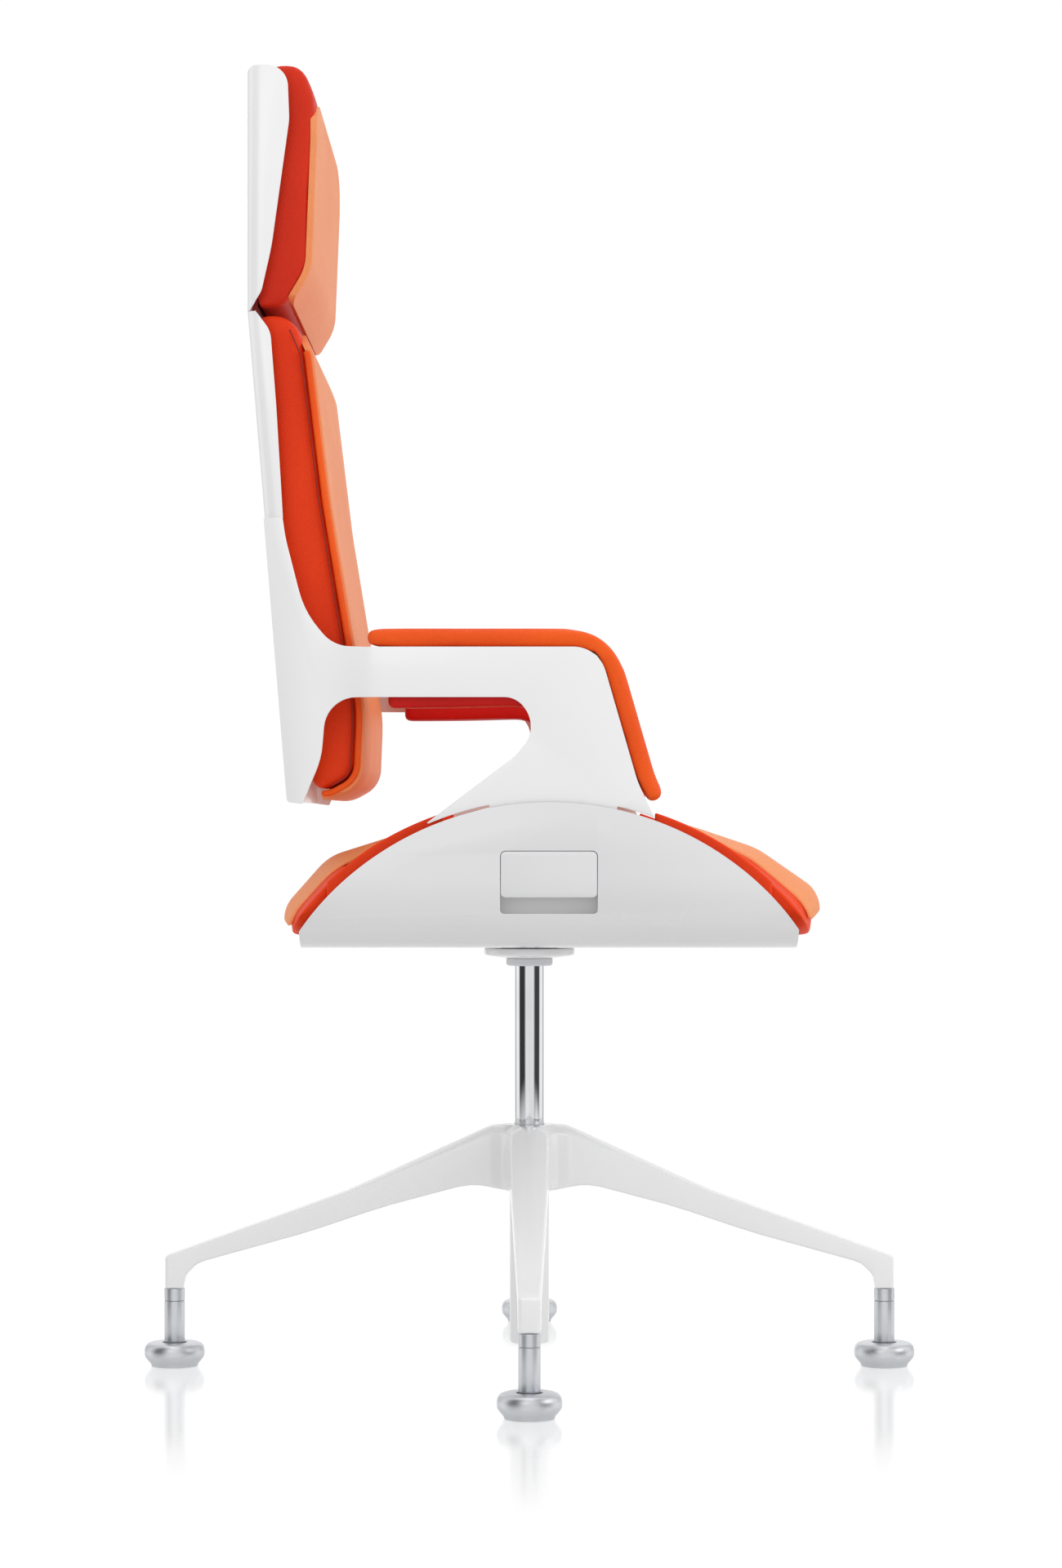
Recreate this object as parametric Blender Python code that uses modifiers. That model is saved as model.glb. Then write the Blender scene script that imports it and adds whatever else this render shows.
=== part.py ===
"""Swivel office chair with a high back, on a four-star base with levelling glides.

Metres, +Z up. The origin is on the floor, on the column's axis. The chair faces -Y, and +X is
the sitter's left. Side outlines are lists of corners (forward, height, corner radius), where
forward is measured along -Y.
"""

import math

import bmesh
import bpy
from mathutils import Matrix, Vector

# ---- Driving dimensions -------------------------------------------------------------------
GAP = 0.0003            # between pieces that touch
RUNNING_GAP = 0.0005    # between pieces that turn or slide on each other

# Base
GLIDE_CIRCLE_R = 0.360
LEG_COUNT = 4
LEG_ROOT_WIDTH = 0.039
LEG_TIP_WIDTH = 0.0208
LEG_TIP_Z = 0.079       # underside of the leg's nose, where the glide screws in
LEG_FILLET_R = 0.028    # between two legs, in plan
HUB_TOP_Z = 0.245
HUB_TOP_R = 0.037
HUB_ROOF = 0.007        # material over the stand tube
GLIDE_FOOT_R = 0.0305
GLIDE_FOOT_H = 0.024
GLIDE_POST_R = 0.01035
GLIDE_STUD_R = 0.0047
GLIDE_STUD_LENGTH = 0.034
GLIDE_COLLAR_H = 0.0125

# Column
BUSH_WALL = 0.0014
TUBE_WALL = 0.003
TUBE_BOTTOM_Z = 0.024
TUBE_FLOOR = 0.006
ROD_R = 0.005
ROD_LENGTH = 0.142
PISTON_H = 0.012
CYLINDER_R = 0.015
CYLINDER_WALL = 0.003
CYLINDER_BOTTOM_Z = 0.140
CYLINDER_ROOF = 0.024
BUSH_LENGTH = 0.090
LIFT_TRAVEL = 0.100
COLLAR_R = 0.0235
COLLAR_H = 0.0077
FLANGE_R = 0.046
FLANGE_H = 0.0100
FLANGE_DROP = 0.007     # room between the seat shell's underside and the flange

# Mechanism
HOUSING_WIDTH = 0.120
HOUSING_LENGTH = 0.144
HOUSING_WALL = 0.006
HOUSING_H = 0.056
HOUSING_LIFT = 0.010    # room between the seat shell's underside and the housing
AXLE_R = 0.006
AXLE_LIFT = 0.039       # of both axles over the housing's underside
BACK_AXLE_FORWARD = -0.015
SEAT_AXLE_FORWARD = 0.030
SPRING_WIRE_R = 0.0016
SPRING_COILS = 5
LEVER_PIN_R = 0.0025

# Seat
SEAT_BOTTOM_Z = 0.431
SEAT_SIDE_ROOM = 0.038  # by which the seat is wider than the back, on each side
SEAT_WALL = 0.003
SEAT_TURN_R = 0.070     # where the side panel turns under
SEAT_REAR = -0.219
SEAT_FRONT = 0.256
ARC_R = 0.292
ARC_FORWARD = 0.0192
ARC_DROP = 0.1523       # of the arc's centre under the seat shell's underside
FLAP_REAR = -0.0278
FLAP_FRONT = 0.0646
FLAP_LIFT = 0.0496
FLAP_H = 0.0442
FLAP_RECESS = 0.0156    # finger room under the flap
FLAP_GAP = 0.0006
POCKET_DEPTH = 0.024
POCKET_WALL = 0.0025
PAN_ROOM = 0.011        # between the housing's top and the pan
PAN_H = 0.008
BRACKET_H = 0.005
BOLT_R = 0.003
BOLT_HEAD_R = 0.005
SEAT_PANEL_H = 0.007

# Arms
ARM_SIDE_GAP = 0.0015   # between the arm's foot and the seat's side panel
ARM_WIDTH = 0.044
ARM_WALL = 0.006
ARM_RISE = 0.287        # of the arm's top over the seat shell's underside
ARM_DEPTH = 0.048
ARM_SHELF = 0.004       # the casting's shelf that the pad lies on
ARM_BEND = -0.145       # forward of this the arm runs straight
PAD_H = 0.0175
PAD_REAR = -0.155
PAD_OVERHANG = 0.001
FOOT_REAR = -0.038
FOOT_FRONT = 0.083
ARM_SEAT_GAP = 0.0028   # slot between the arm's foot and the seat's arc
HANGER_WALL = 0.008

# Back and headrest
BACK_REAR = -0.270
BACK_RISE = 0.140       # of the back's lower edge over the seat shell's underside
BACK_H = 0.469          # up to the break between back and headrest
HEAD_H = 0.234
BACK_SLOPE = 0.0832     # the back leans forward by this much per metre of fall
BACK_HALF_WIDTH = 0.249
BACK_WALL = 0.004
BACK_CORNER_R = 0.016
CHEEK_H = 0.271
BOARD_H = 0.005
BACK_CUSHION_GAP = 0.0045
BACK_PANEL_H = 0.007
PANEL_BORDER = 0.008    # of side leather seen round the light front panels
CROSSBAR_R = 0.008

ROUND_STEPS = 28
FINE_ROUND_STEPS = 48

# Derived sizes
TUBE_BORE_R = CYLINDER_R + BUSH_WALL + 2 * GAP
TUBE_R = TUBE_BORE_R + TUBE_WALL
FLANGE_TOP_Z = SEAT_BOTTOM_Z - FLANGE_DROP
TUBE_TOP_Z = HUB_TOP_Z - HUB_ROOF
TUBE_FLOOR_Z = TUBE_BOTTOM_Z + TUBE_FLOOR
CYLINDER_BORE_R = CYLINDER_R - CYLINDER_WALL
COLLAR_Z = FLANGE_TOP_Z - FLANGE_H - GAP - COLLAR_H
HOUSING_Z = SEAT_BOTTOM_Z + HOUSING_LIFT
HOUSING_TOP_Z = HOUSING_Z + HOUSING_H
AXLE_Z = HOUSING_Z + AXLE_LIFT
CYLINDER_TOP_Z = HOUSING_Z + HOUSING_WALL - GAP
PAN_Z = HOUSING_TOP_Z + PAN_ROOM
ARC_Z = SEAT_BOTTOM_Z - ARC_DROP
FLAP_BOTTOM_Z = SEAT_BOTTOM_Z + FLAP_LIFT
FLAP_TOP_Z = FLAP_BOTTOM_Z + FLAP_H
SEAT_HALF_WIDTH = BACK_HALF_WIDTH + SEAT_SIDE_ROOM
ARM_HALF_WIDTH = SEAT_HALF_WIDTH - SEAT_WALL - ARM_SIDE_GAP
ARM_TOP_Z = SEAT_BOTTOM_Z + ARM_RISE
ARM_LOWER_Z = ARM_TOP_Z - ARM_DEPTH
HANGER_TOP_Z = FLAP_TOP_Z + 0.024
HANGER_HALF_WIDTH = SEAT_HALF_WIDTH - POCKET_DEPTH - POCKET_WALL - 0.0025
NOTCH_HALF_WIDTH = HANGER_HALF_WIDTH - HANGER_WALL - 0.004
SEAT_CUSHION_HALF_WIDTH = ARM_HALF_WIDTH - ARM_WALL - 0.0065
BACK_BOTTOM_Z = SEAT_BOTTOM_Z + BACK_RISE
BACK_BREAK_Z = BACK_BOTTOM_Z + BACK_H
HEAD_TOP_Z = BACK_BREAK_Z + HEAD_H
CHEEK_TOP_Z = BACK_BOTTOM_Z + CHEEK_H
CHEEK_HALF_WIDTH = BACK_HALF_WIDTH + 0.001
BACK_CUSHION_HALF_WIDTH = BACK_HALF_WIDTH - BACK_WALL - BACK_CUSHION_GAP
BACK_PANEL_HALF_WIDTH = BACK_CUSHION_HALF_WIDTH - PANEL_BORDER
SEAT_PANEL_HALF_WIDTH = NOTCH_HALF_WIDTH - PANEL_BORDER

WHITE_PAINT = ("white_paint", (0.86, 0.87, 0.88), 0.22, 0.0)
CHROME = ("chrome", (0.80, 0.81, 0.82), 0.08, 1.0)
STEEL = ("steel", (0.55, 0.56, 0.58), 0.32, 1.0)
CAST_METAL = ("cast_metal", (0.50, 0.51, 0.53), 0.45, 1.0)
GREY_PLASTIC = ("grey_plastic", (0.62, 0.64, 0.66), 0.40, 0.0)
DARK_PLASTIC = ("dark_plastic", (0.05, 0.05, 0.055), 0.50, 0.0)
RED_LEATHER = ("red_leather", (0.72, 0.05, 0.012), 0.50, 0.0)
ORANGE_LEATHER = ("orange_leather", (0.82, 0.13, 0.02), 0.48, 0.0)
LIGHT_LEATHER = ("light_leather", (0.88, 0.32, 0.14), 0.52, 0.0)


# ---- Scene helpers ------------------------------------------------------------------------
def clear_scene():
    for obj in list(bpy.data.objects):
        bpy.data.objects.remove(obj)


def new_collection(name):
    collection = bpy.data.collections.new(name)
    bpy.context.scene.collection.children.link(collection)
    return collection


def finish(obj, name, look, smooth=True):
    """Name an object, give it its material and put it in the chair's collection."""
    title, color, roughness, metallic = look
    material = bpy.data.materials.get(title) or bpy.data.materials.new(title)
    material.use_nodes = True
    shader = material.node_tree.nodes["Principled BSDF"]
    shader.inputs["Base Color"].default_value = (*color, 1.0)
    shader.inputs["Roughness"].default_value = roughness
    shader.inputs["Metallic"].default_value = metallic
    obj.name = name
    obj.data.name = name
    obj.data.materials.clear()
    obj.data.materials.append(material)
    if smooth:
        obj.data.shade_smooth()
        obj.data.set_sharp_from_angle(angle=math.radians(35))
    CHAIR.objects.link(obj)
    CUTTERS.objects.unlink(obj)
    return obj


def as_mesh(obj):
    """Turn a curve or an object with modifiers into a welded mesh in its place."""
    bpy.context.view_layer.update()
    graph = bpy.context.evaluated_depsgraph_get()
    mesh = bpy.data.meshes.new_from_object(obj.evaluated_get(graph))
    made = bpy.data.objects.new(obj.name, mesh)
    made.matrix_world = obj.matrix_world.copy()
    CUTTERS.objects.link(made)
    bpy.data.objects.remove(obj)
    weld(mesh)
    return made


def weld(mesh):
    bm = bmesh.new()
    bm.from_mesh(mesh)
    bmesh.ops.remove_doubles(bm, verts=bm.verts, dist=1e-6)
    bmesh.ops.recalc_face_normals(bm, faces=bm.faces)
    bm.to_mesh(mesh)
    bm.free()


def combine(target, cutter, operation):
    """Apply a Boolean of target with cutter, and remove the cutter."""
    modifier = target.modifiers.new("Boolean", "BOOLEAN")
    modifier.operation = operation
    modifier.object = cutter
    result = as_mesh(target)
    bpy.data.objects.remove(cutter)
    return result


# ---- Shapes -------------------------------------------------------------------------------
def rounded(corners, steps=5):
    """Points of an outline through corners (a, b, radius), each corner turned into an arc."""
    points = []
    count = len(corners)
    for index, (a, b, radius) in enumerate(corners):
        here = Vector((a, b))
        back = Vector(corners[index - 1][:2]) - here
        ahead = Vector(corners[(index + 1) % count][:2]) - here
        angle = back.angle(ahead)
        if radius <= 0 or angle > math.radians(179):
            points.append(here)
            continue
        reach = radius / math.tan(angle / 2)
        reach = min(reach, 0.49 * back.length, 0.49 * ahead.length)
        radius = reach * math.tan(angle / 2)
        centre = here + (back.normalized() + ahead.normalized()).normalized() * (
            radius / math.sin(angle / 2))
        start = here + back.normalized() * reach - centre
        end = here + ahead.normalized() * reach - centre
        sweep = math.atan2(start.x * end.y - start.y * end.x, start.dot(end))
        turns = max(2, min(steps, math.ceil(abs(sweep) / math.radians(14))))
        for step in range(turns + 1):
            turned = Matrix.Rotation(sweep * step / turns, 2) @ start
            points.append(centre + turned)
    return points


def path(corners, steps=5):
    """As rounded, for an open path: its first and last corners stay as they are."""
    ends = [(*corners[0][:2], 0.0)] + list(corners[1:-1]) + [(*corners[-1][:2], 0.0)]
    return rounded(ends, steps)


def offset(points, distance):
    """An open path moved sideways, to the right of its direction."""
    moved = []
    last = len(points) - 1
    for index, point in enumerate(points):
        before = (point - points[index - 1]).normalized() if index else None
        after = (points[index + 1] - point).normalized() if index < last else None
        before = before or after
        after = after or before
        along = (before + after).normalized()
        stretch = 1 / max(0.5, along.dot(after))
        moved.append(point + Vector((along.y, -along.x)) * distance * stretch)
    return moved


def plate(points, low, high):
    """A flat outline in local XY, between two heights along local Z, as a closed mesh."""
    curve = bpy.data.curves.new("outline", "CURVE")
    curve.dimensions = "2D"
    curve.fill_mode = "BOTH"
    curve.extrude = (high - low) / 2
    spline = curve.splines.new("POLY")
    spline.points.add(len(points) - 1)
    for target, point in zip(spline.points, points):
        target.co = (point[0], point[1], 0, 1)
    spline.use_cyclic_u = True
    obj = bpy.data.objects.new("outline", curve)
    CUTTERS.objects.link(obj)
    made = as_mesh(obj)
    made.data.transform(Matrix.Translation((0, 0, (low + high) / 2)))
    return made


def side_plate(points, low_x, high_x):
    """A side outline of (forward, height), extruded across the chair from low_x to high_x."""
    made = plate(points, -high_x, -low_x)
    made.data.transform(Matrix(((0, 0, -1, 0), (-1, 0, 0, 0), (0, 1, 0, 0), (0, 0, 0, 1))))
    return made


def box(low, high):
    size = [b - a for a, b in zip(low, high)]
    middle = [(a + b) / 2 for a, b in zip(low, high)]
    bpy.ops.mesh.primitive_cube_add(size=1, location=(0, 0, 0))
    made = bpy.context.object
    made.data.transform(Matrix.Diagonal((*size, 1)))
    made.data.transform(Matrix.Translation(middle))
    move_to_cutters(made)
    return made


def side_box(rear, front, low_z, high_z, low_x, high_x):
    return box((low_x, -front, low_z), (high_x, -rear, high_z))


def move_to_cutters(obj):
    for collection in list(obj.users_collection):
        collection.objects.unlink(obj)
    CUTTERS.objects.link(obj)


def rod_along(axis, centre, radius, length, steps=ROUND_STEPS):
    """A cylinder centred at a point, along X, Y or Z."""
    bpy.ops.mesh.primitive_cylinder_add(vertices=steps, radius=radius, depth=length)
    made = bpy.context.object
    turn = {"X": ("Y", 90), "Y": ("X", 90), "Z": ("Z", 0)}[axis]
    made.data.transform(Matrix.Rotation(math.radians(turn[1]), 4, turn[0]))
    made.data.transform(Matrix.Translation(centre))
    move_to_cutters(made)
    return made


def turned(profile, centre=(0, 0), steps=ROUND_STEPS):
    """A profile of (radius, height), outer side first and downwards, turned about Z."""
    mesh = bpy.data.meshes.new("turned")
    points = [(r, 0, z) for r, z in profile]
    closed = min(r for r, z in profile) > 0
    edges = [(i, i + 1) for i in range(len(points) - 1)]
    if closed:
        edges.append((len(points) - 1, 0))
    mesh.from_pydata(points, edges, [])
    obj = bpy.data.objects.new("turned", mesh)
    CUTTERS.objects.link(obj)
    screw = obj.modifiers.new("Screw", "SCREW")
    screw.steps = steps
    screw.render_steps = steps
    screw.use_merge_vertices = True
    screw.merge_threshold = 0.00001
    made = as_mesh(obj)
    made.data.transform(Matrix.Translation((*centre, 0)))
    return made


def ring(outer, inner, low_z, high_z, centre=(0, 0), steps=ROUND_STEPS):
    return turned([(outer, high_z), (outer, low_z), (inner, low_z), (inner, high_z)],
                  centre, steps)


def back_line(z):
    """How far forward the back's rear face is at a height."""
    return BACK_REAR + BACK_SLOPE * max(0.0, BACK_BREAK_Z - z)


def arc_height(forward, clearance=0.0):
    """Height of the seat's arc at a place, or of a line a clearance outside it."""
    radius = ARC_R + clearance
    return ARC_Z + math.sqrt(radius ** 2 - (forward - ARC_FORWARD) ** 2)


def arc_points(start, end, clearance=0.0, steps=18):
    """Points along the seat's arc between two places, in the given direction."""
    radius = ARC_R + clearance
    first = math.acos((start - ARC_FORWARD) / radius)
    last = math.acos((end - ARC_FORWARD) / radius)
    turns = [first + (last - first) * step / steps for step in range(steps + 1)]
    return [Vector((ARC_FORWARD + radius * math.cos(t), ARC_Z + radius * math.sin(t)))
            for t in turns]


# ---- Base ---------------------------------------------------------------------------------
def leg_outline():
    """Half of the base's section through two legs, from the axis out to the nose."""
    nose = GLIDE_CIRCLE_R + LEG_TIP_WIDTH * 0.43
    inner = GLIDE_CIRCLE_R - LEG_TIP_WIDTH * 0.48
    drop = HUB_TOP_Z - LEG_TIP_Z
    return path([
        (0.0, HUB_TOP_Z, 0),
        (HUB_TOP_R, HUB_TOP_Z, 0.012),
        (0.51 * GLIDE_CIRCLE_R, LEG_TIP_Z + 0.60 * drop, 0.30),
        (0.82 * GLIDE_CIRCLE_R, LEG_TIP_Z + 0.355 * drop, 0.40),
        (nose - 0.002, LEG_TIP_Z + 0.033, 0.005),
        (nose, LEG_TIP_Z, 0),
        (inner, LEG_TIP_Z, 0),
        (inner - 0.002, LEG_TIP_Z + 0.013, 0.012),
        (GLIDE_CIRCLE_R - 0.026, LEG_TIP_Z + 0.0268, 0.03),
        (0.625 * GLIDE_CIRCLE_R, LEG_TIP_Z + 0.345 * drop, 0.30),
        (0.415 * GLIDE_CIRCLE_R, LEG_TIP_Z + 0.50 * drop, 0.20),
        (0.06, HUB_TOP_Z - 0.0585, 0.06),
        (0.0, HUB_TOP_Z - 0.073, 0),
    ])


def base_plan():
    """Plan of the four legs, tapering outwards, with a fillet between each two."""
    root = LEG_ROOT_WIDTH / 2
    tip = LEG_TIP_WIDTH / 2
    flare = GLIDE_CIRCLE_R * 0.21
    end = GLIDE_CIRCLE_R + LEG_TIP_WIDTH
    quarter = [(end, tip, 0), (flare, root, 0.04), (root, root, LEG_FILLET_R),
               (root, flare, 0.04), (tip, end, 0)]
    corners = []
    for turn in range(LEG_COUNT):
        angle = 2 * math.pi * turn / LEG_COUNT
        c, s = math.cos(angle), math.sin(angle)
        corners += [(a * c - b * s, a * s + b * c, radius) for a, b, radius in quarter]
    return rounded(corners, 7)


def glide_places():
    for number in range(LEG_COUNT):
        angle = 2 * math.pi * number / LEG_COUNT
        yield number + 1, (GLIDE_CIRCLE_R * math.cos(angle), GLIDE_CIRCLE_R * math.sin(angle))


def make_base():
    legs = turned(leg_outline(), steps=FINE_ROUND_STEPS)
    plan = plate(base_plan(), 0.0, HUB_TOP_Z * 1.2)
    cross = combine(legs, plan, "INTERSECT")
    bore = turned([(0, HUB_TOP_Z + 0.01), (CYLINDER_R + RUNNING_GAP, HUB_TOP_Z + 0.01),
                   (CYLINDER_R + RUNNING_GAP, TUBE_TOP_Z + GAP),
                   (TUBE_R + GAP, TUBE_TOP_Z + GAP), (TUBE_R + GAP, 0.0), (0, 0.0)])
    cross = combine(cross, bore, "DIFFERENCE")
    for _, (x, y) in glide_places():
        stud_hole = rod_along("Z", (x, y, LEG_TIP_Z), GLIDE_STUD_R + GAP,
                              2 * (GLIDE_STUD_LENGTH - GLIDE_COLLAR_H + 0.002), 16)
        cross = combine(cross, stud_hole, "DIFFERENCE")
    finish(cross, "base_cross", WHITE_PAINT)

    tube = turned([(TUBE_R, TUBE_TOP_Z), (TUBE_R, TUBE_BOTTOM_Z),
                   (ROD_R + GAP, TUBE_BOTTOM_Z), (ROD_R + GAP, TUBE_FLOOR_Z),
                   (TUBE_BORE_R, TUBE_FLOOR_Z), (TUBE_BORE_R, TUBE_TOP_Z)])
    finish(tube, "stand_tube", WHITE_PAINT)
    bush = ring(TUBE_BORE_R - GAP, CYLINDER_R + GAP, TUBE_TOP_Z - BUSH_LENGTH, TUBE_TOP_Z)
    finish(bush, "guide_bush", DARK_PLASTIC)
    bearing = ring(TUBE_BORE_R - 3 * GAP, ROD_R + GAP, TUBE_FLOOR_Z + GAP,
                   TUBE_FLOOR_Z + GAP + 0.003)
    finish(bearing, "thrust_bearing", STEEL)


def make_glides():
    collar_bottom = LEG_TIP_Z - GAP - GLIDE_COLLAR_H
    post_top = collar_bottom - GAP
    r, h = GLIDE_FOOT_R, GLIDE_FOOT_H
    foot_profile = [(0, h * 0.72), (GLIDE_POST_R * 1.25, h * 0.72), (GLIDE_POST_R * 1.25, h),
                    (r * 0.62, h * 0.985), (r * 0.9, h * 0.90), (r, h * 0.70), (r, h * 0.46),
                    (r * 0.93, h * 0.30), (r * 0.80, h * 0.14), (r * 0.76, 0.0), (0, 0.0)]
    for number, place in glide_places():
        collar = ring(GLIDE_POST_R, GLIDE_STUD_R + GAP, collar_bottom, LEG_TIP_Z - GAP,
                      place, 24)
        finish(collar, f"glide_collar_{number}", STEEL)
        post = turned([(0, post_top + GLIDE_STUD_LENGTH), (GLIDE_STUD_R, post_top
                       + GLIDE_STUD_LENGTH), (GLIDE_STUD_R, post_top),
                       (GLIDE_POST_R, post_top), (GLIDE_POST_R, h * 0.72 + GAP),
                       (0, h * 0.72 + GAP)], place, 24)
        finish(post, f"glide_post_{number}", STEEL)
        foot = turned(foot_profile, place, 24)
        finish(foot, f"glide_foot_{number}", STEEL)


# ---- Column -------------------------------------------------------------------------------
def make_column():
    clip_top = TUBE_BOTTOM_Z - GAP
    shoulder_z = TUBE_FLOOR_Z + 2 * GAP + 0.003
    shoulder_top = shoulder_z + 0.0025
    piston_z = TUBE_BOTTOM_Z + ROD_LENGTH
    rod = turned([(0, piston_z + PISTON_H), (CYLINDER_BORE_R - RUNNING_GAP, piston_z + PISTON_H),
                  (CYLINDER_BORE_R - RUNNING_GAP, piston_z), (ROD_R, piston_z),
                  (ROD_R, shoulder_top), (ROD_R + 0.0035, shoulder_top),
                  (ROD_R + 0.0035, shoulder_z), (ROD_R, shoulder_z),
                  (ROD_R, clip_top), (ROD_R - 0.001, clip_top),
                  (ROD_R - 0.001, clip_top - 0.0035), (0, clip_top - 0.0035)])
    finish(rod, "piston_rod", CHROME)
    clip = ring(ROD_R + 0.0045, ROD_R - 0.001 + GAP, clip_top - 0.002, clip_top - GAP)
    finish(clip, "rod_clip", STEEL)

    bore_top = CYLINDER_TOP_Z - CYLINDER_ROOF
    button_r = 0.0035
    button_floor = CYLINDER_TOP_Z - 0.009
    cylinder = turned([(0, button_floor), (button_r + GAP, button_floor),
                       (button_r + GAP, CYLINDER_TOP_Z), (CYLINDER_R - 0.002, CYLINDER_TOP_Z),
                       (CYLINDER_R, CYLINDER_TOP_Z - 0.02), (CYLINDER_R, CYLINDER_BOTTOM_Z),
                       (CYLINDER_BORE_R, CYLINDER_BOTTOM_Z), (CYLINDER_BORE_R, bore_top),
                       (0, bore_top)], steps=32)
    finish(cylinder, "gas_cylinder", CHROME)
    gland = ring(CYLINDER_BORE_R - GAP, ROD_R + GAP, CYLINDER_BOTTOM_Z + GAP,
                 CYLINDER_BOTTOM_Z + GAP + PISTON_H)
    finish(gland, "cylinder_gland", DARK_PLASTIC)
    button = rod_along("Z", (0, 0, CYLINDER_TOP_Z - 0.0015), button_r, 0.009, 20)
    finish(button, "valve_button", STEEL)
    collar = ring(COLLAR_R, CYLINDER_R + GAP, COLLAR_Z, COLLAR_Z + COLLAR_H, steps=32)
    finish(collar, "cylinder_collar", GREY_PLASTIC)
    rim = FLANGE_H * 0.75
    flange = turned([(CYLINDER_R + GAP, FLANGE_TOP_Z), (FLANGE_R - 0.0015, FLANGE_TOP_Z),
                     (FLANGE_R, FLANGE_TOP_Z - 0.0015), (FLANGE_R, FLANGE_TOP_Z - rim + 0.001),
                     (FLANGE_R - 0.0015, FLANGE_TOP_Z - rim),
                     (FLANGE_R * 0.62, FLANGE_TOP_Z - FLANGE_H),
                     (CYLINDER_R + GAP, FLANGE_TOP_Z - FLANGE_H)], steps=40)
    finish(flange, "flange_plate", WHITE_PAINT)


# ---- Mechanism ----------------------------------------------------------------------------
def make_mechanism():
    half_w, half_l = HOUSING_WIDTH / 2, HOUSING_LENGTH / 2
    neck_r = FLANGE_R * 0.62
    body = side_box(-half_l, half_l, HOUSING_Z, HOUSING_TOP_Z, -half_w, half_w)
    neck = rod_along("Z", (0, 0, (FLANGE_TOP_Z + GAP + HOUSING_Z + 0.002) / 2), neck_r,
                     HOUSING_Z + 0.002 - FLANGE_TOP_Z - GAP)
    body = combine(body, neck, "UNION")
    hollow = side_box(-half_l + HOUSING_WALL, half_l - HOUSING_WALL, HOUSING_Z + HOUSING_WALL,
                      HOUSING_TOP_Z + 0.01, -half_w + HOUSING_WALL, half_w - HOUSING_WALL)
    body = combine(body, hollow, "DIFFERENCE")
    bore = rod_along("Z", (0, 0, HOUSING_Z), CYLINDER_R + GAP, 0.08, 32)
    body = combine(body, bore, "DIFFERENCE")
    for forward in (BACK_AXLE_FORWARD, SEAT_AXLE_FORWARD):
        hole = rod_along("X", (0, -forward, AXLE_Z), AXLE_R + RUNNING_GAP, 2 * half_w + 0.02)
        body = combine(body, hole, "DIFFERENCE")
    lever_forward, lever_z = SEAT_AXLE_FORWARD + 0.022, CYLINDER_TOP_Z + 0.0075
    pin_hole = rod_along("X", (0, -lever_forward, lever_z), LEVER_PIN_R + GAP,
                         2 * half_w + 0.02, 16)
    body = combine(body, pin_hole, "DIFFERENCE")
    finish(body, "mechanism_housing", CAST_METAL, smooth=False)

    seat_axle = rod_along("X", (0, -SEAT_AXLE_FORWARD, AXLE_Z), AXLE_R,
                          HOUSING_WIDTH + 2 * (BRACKET_H + 0.003))
    finish(seat_axle, "seat_axle", STEEL)
    pin = rod_along("X", (0, -lever_forward, lever_z), LEVER_PIN_R, HOUSING_WIDTH, 16)
    finish(pin, "lever_pin", STEEL)
    lever = side_plate(rounded([
        (-0.006, lever_z - 0.0025, 0.001), (lever_forward + 0.006, lever_z - 0.0055, 0.004),
        (lever_forward + 0.006, lever_z + 0.0055, 0.004), (-0.006, lever_z + 0.0015, 0.001),
    ]), -0.007, 0.007)
    lever_hole = rod_along("X", (0, -lever_forward, lever_z), LEVER_PIN_R + GAP, 0.03, 16)
    finish(combine(lever, lever_hole, "DIFFERENCE"), "release_lever", CAST_METAL, smooth=False)

    for side, name in ((1, "left"), (-1, "right")):
        finish(spring(side * 0.033), f"torsion_spring_{name}", STEEL)


def spring(centre_x):
    """A coil round the back axle, between the housing's walls."""
    radius = AXLE_R + 0.0012 + SPRING_WIRE_R
    pitch = 2 * SPRING_WIRE_R + 0.0012
    turns, per_turn = SPRING_COILS, 12
    curve = bpy.data.curves.new("spring", "CURVE")
    curve.dimensions = "3D"
    curve.bevel_depth = SPRING_WIRE_R
    curve.bevel_resolution = 1
    curve.use_fill_caps = True
    spline = curve.splines.new("POLY")
    count = turns * per_turn
    spline.points.add(count)
    for index, point in enumerate(spline.points):
        angle = 2 * math.pi * index / per_turn
        x = centre_x + pitch * (index / per_turn - turns / 2)
        point.co = (x, -BACK_AXLE_FORWARD + radius * math.cos(angle),
                    AXLE_Z + radius * math.sin(angle), 1)
    obj = bpy.data.objects.new("spring", curve)
    CUTTERS.objects.link(obj)
    return as_mesh(obj)


# ---- Seat ---------------------------------------------------------------------------------
def trough_section(inset):
    """Closed outline of the seat trough's section, wider than tall, inset by a distance."""
    half = SEAT_HALF_WIDTH - inset
    turn = SEAT_TURN_R - inset
    low = SEAT_BOTTOM_Z + inset
    high = ARC_Z + ARC_R + 0.03
    return rounded([(-half, high, 0), (-half, low, turn), (half, low, turn), (half, high, 0)],
                   8)


def trough_solid(inset):
    """The trough's section as one solid block along the seat."""
    made = plate(trough_section(inset), SEAT_REAR - 0.06, SEAT_FRONT + 0.06)
    made.data.transform(Matrix(((1, 0, 0, 0), (0, 0, -1, 0), (0, 1, 0, 0), (0, 0, 0, 1))))
    weld(made.data)
    return made


def shell_wall():
    wall = trough_solid(0.0)
    return combine(wall, trough_solid(SEAT_WALL), "DIFFERENCE")


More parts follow.
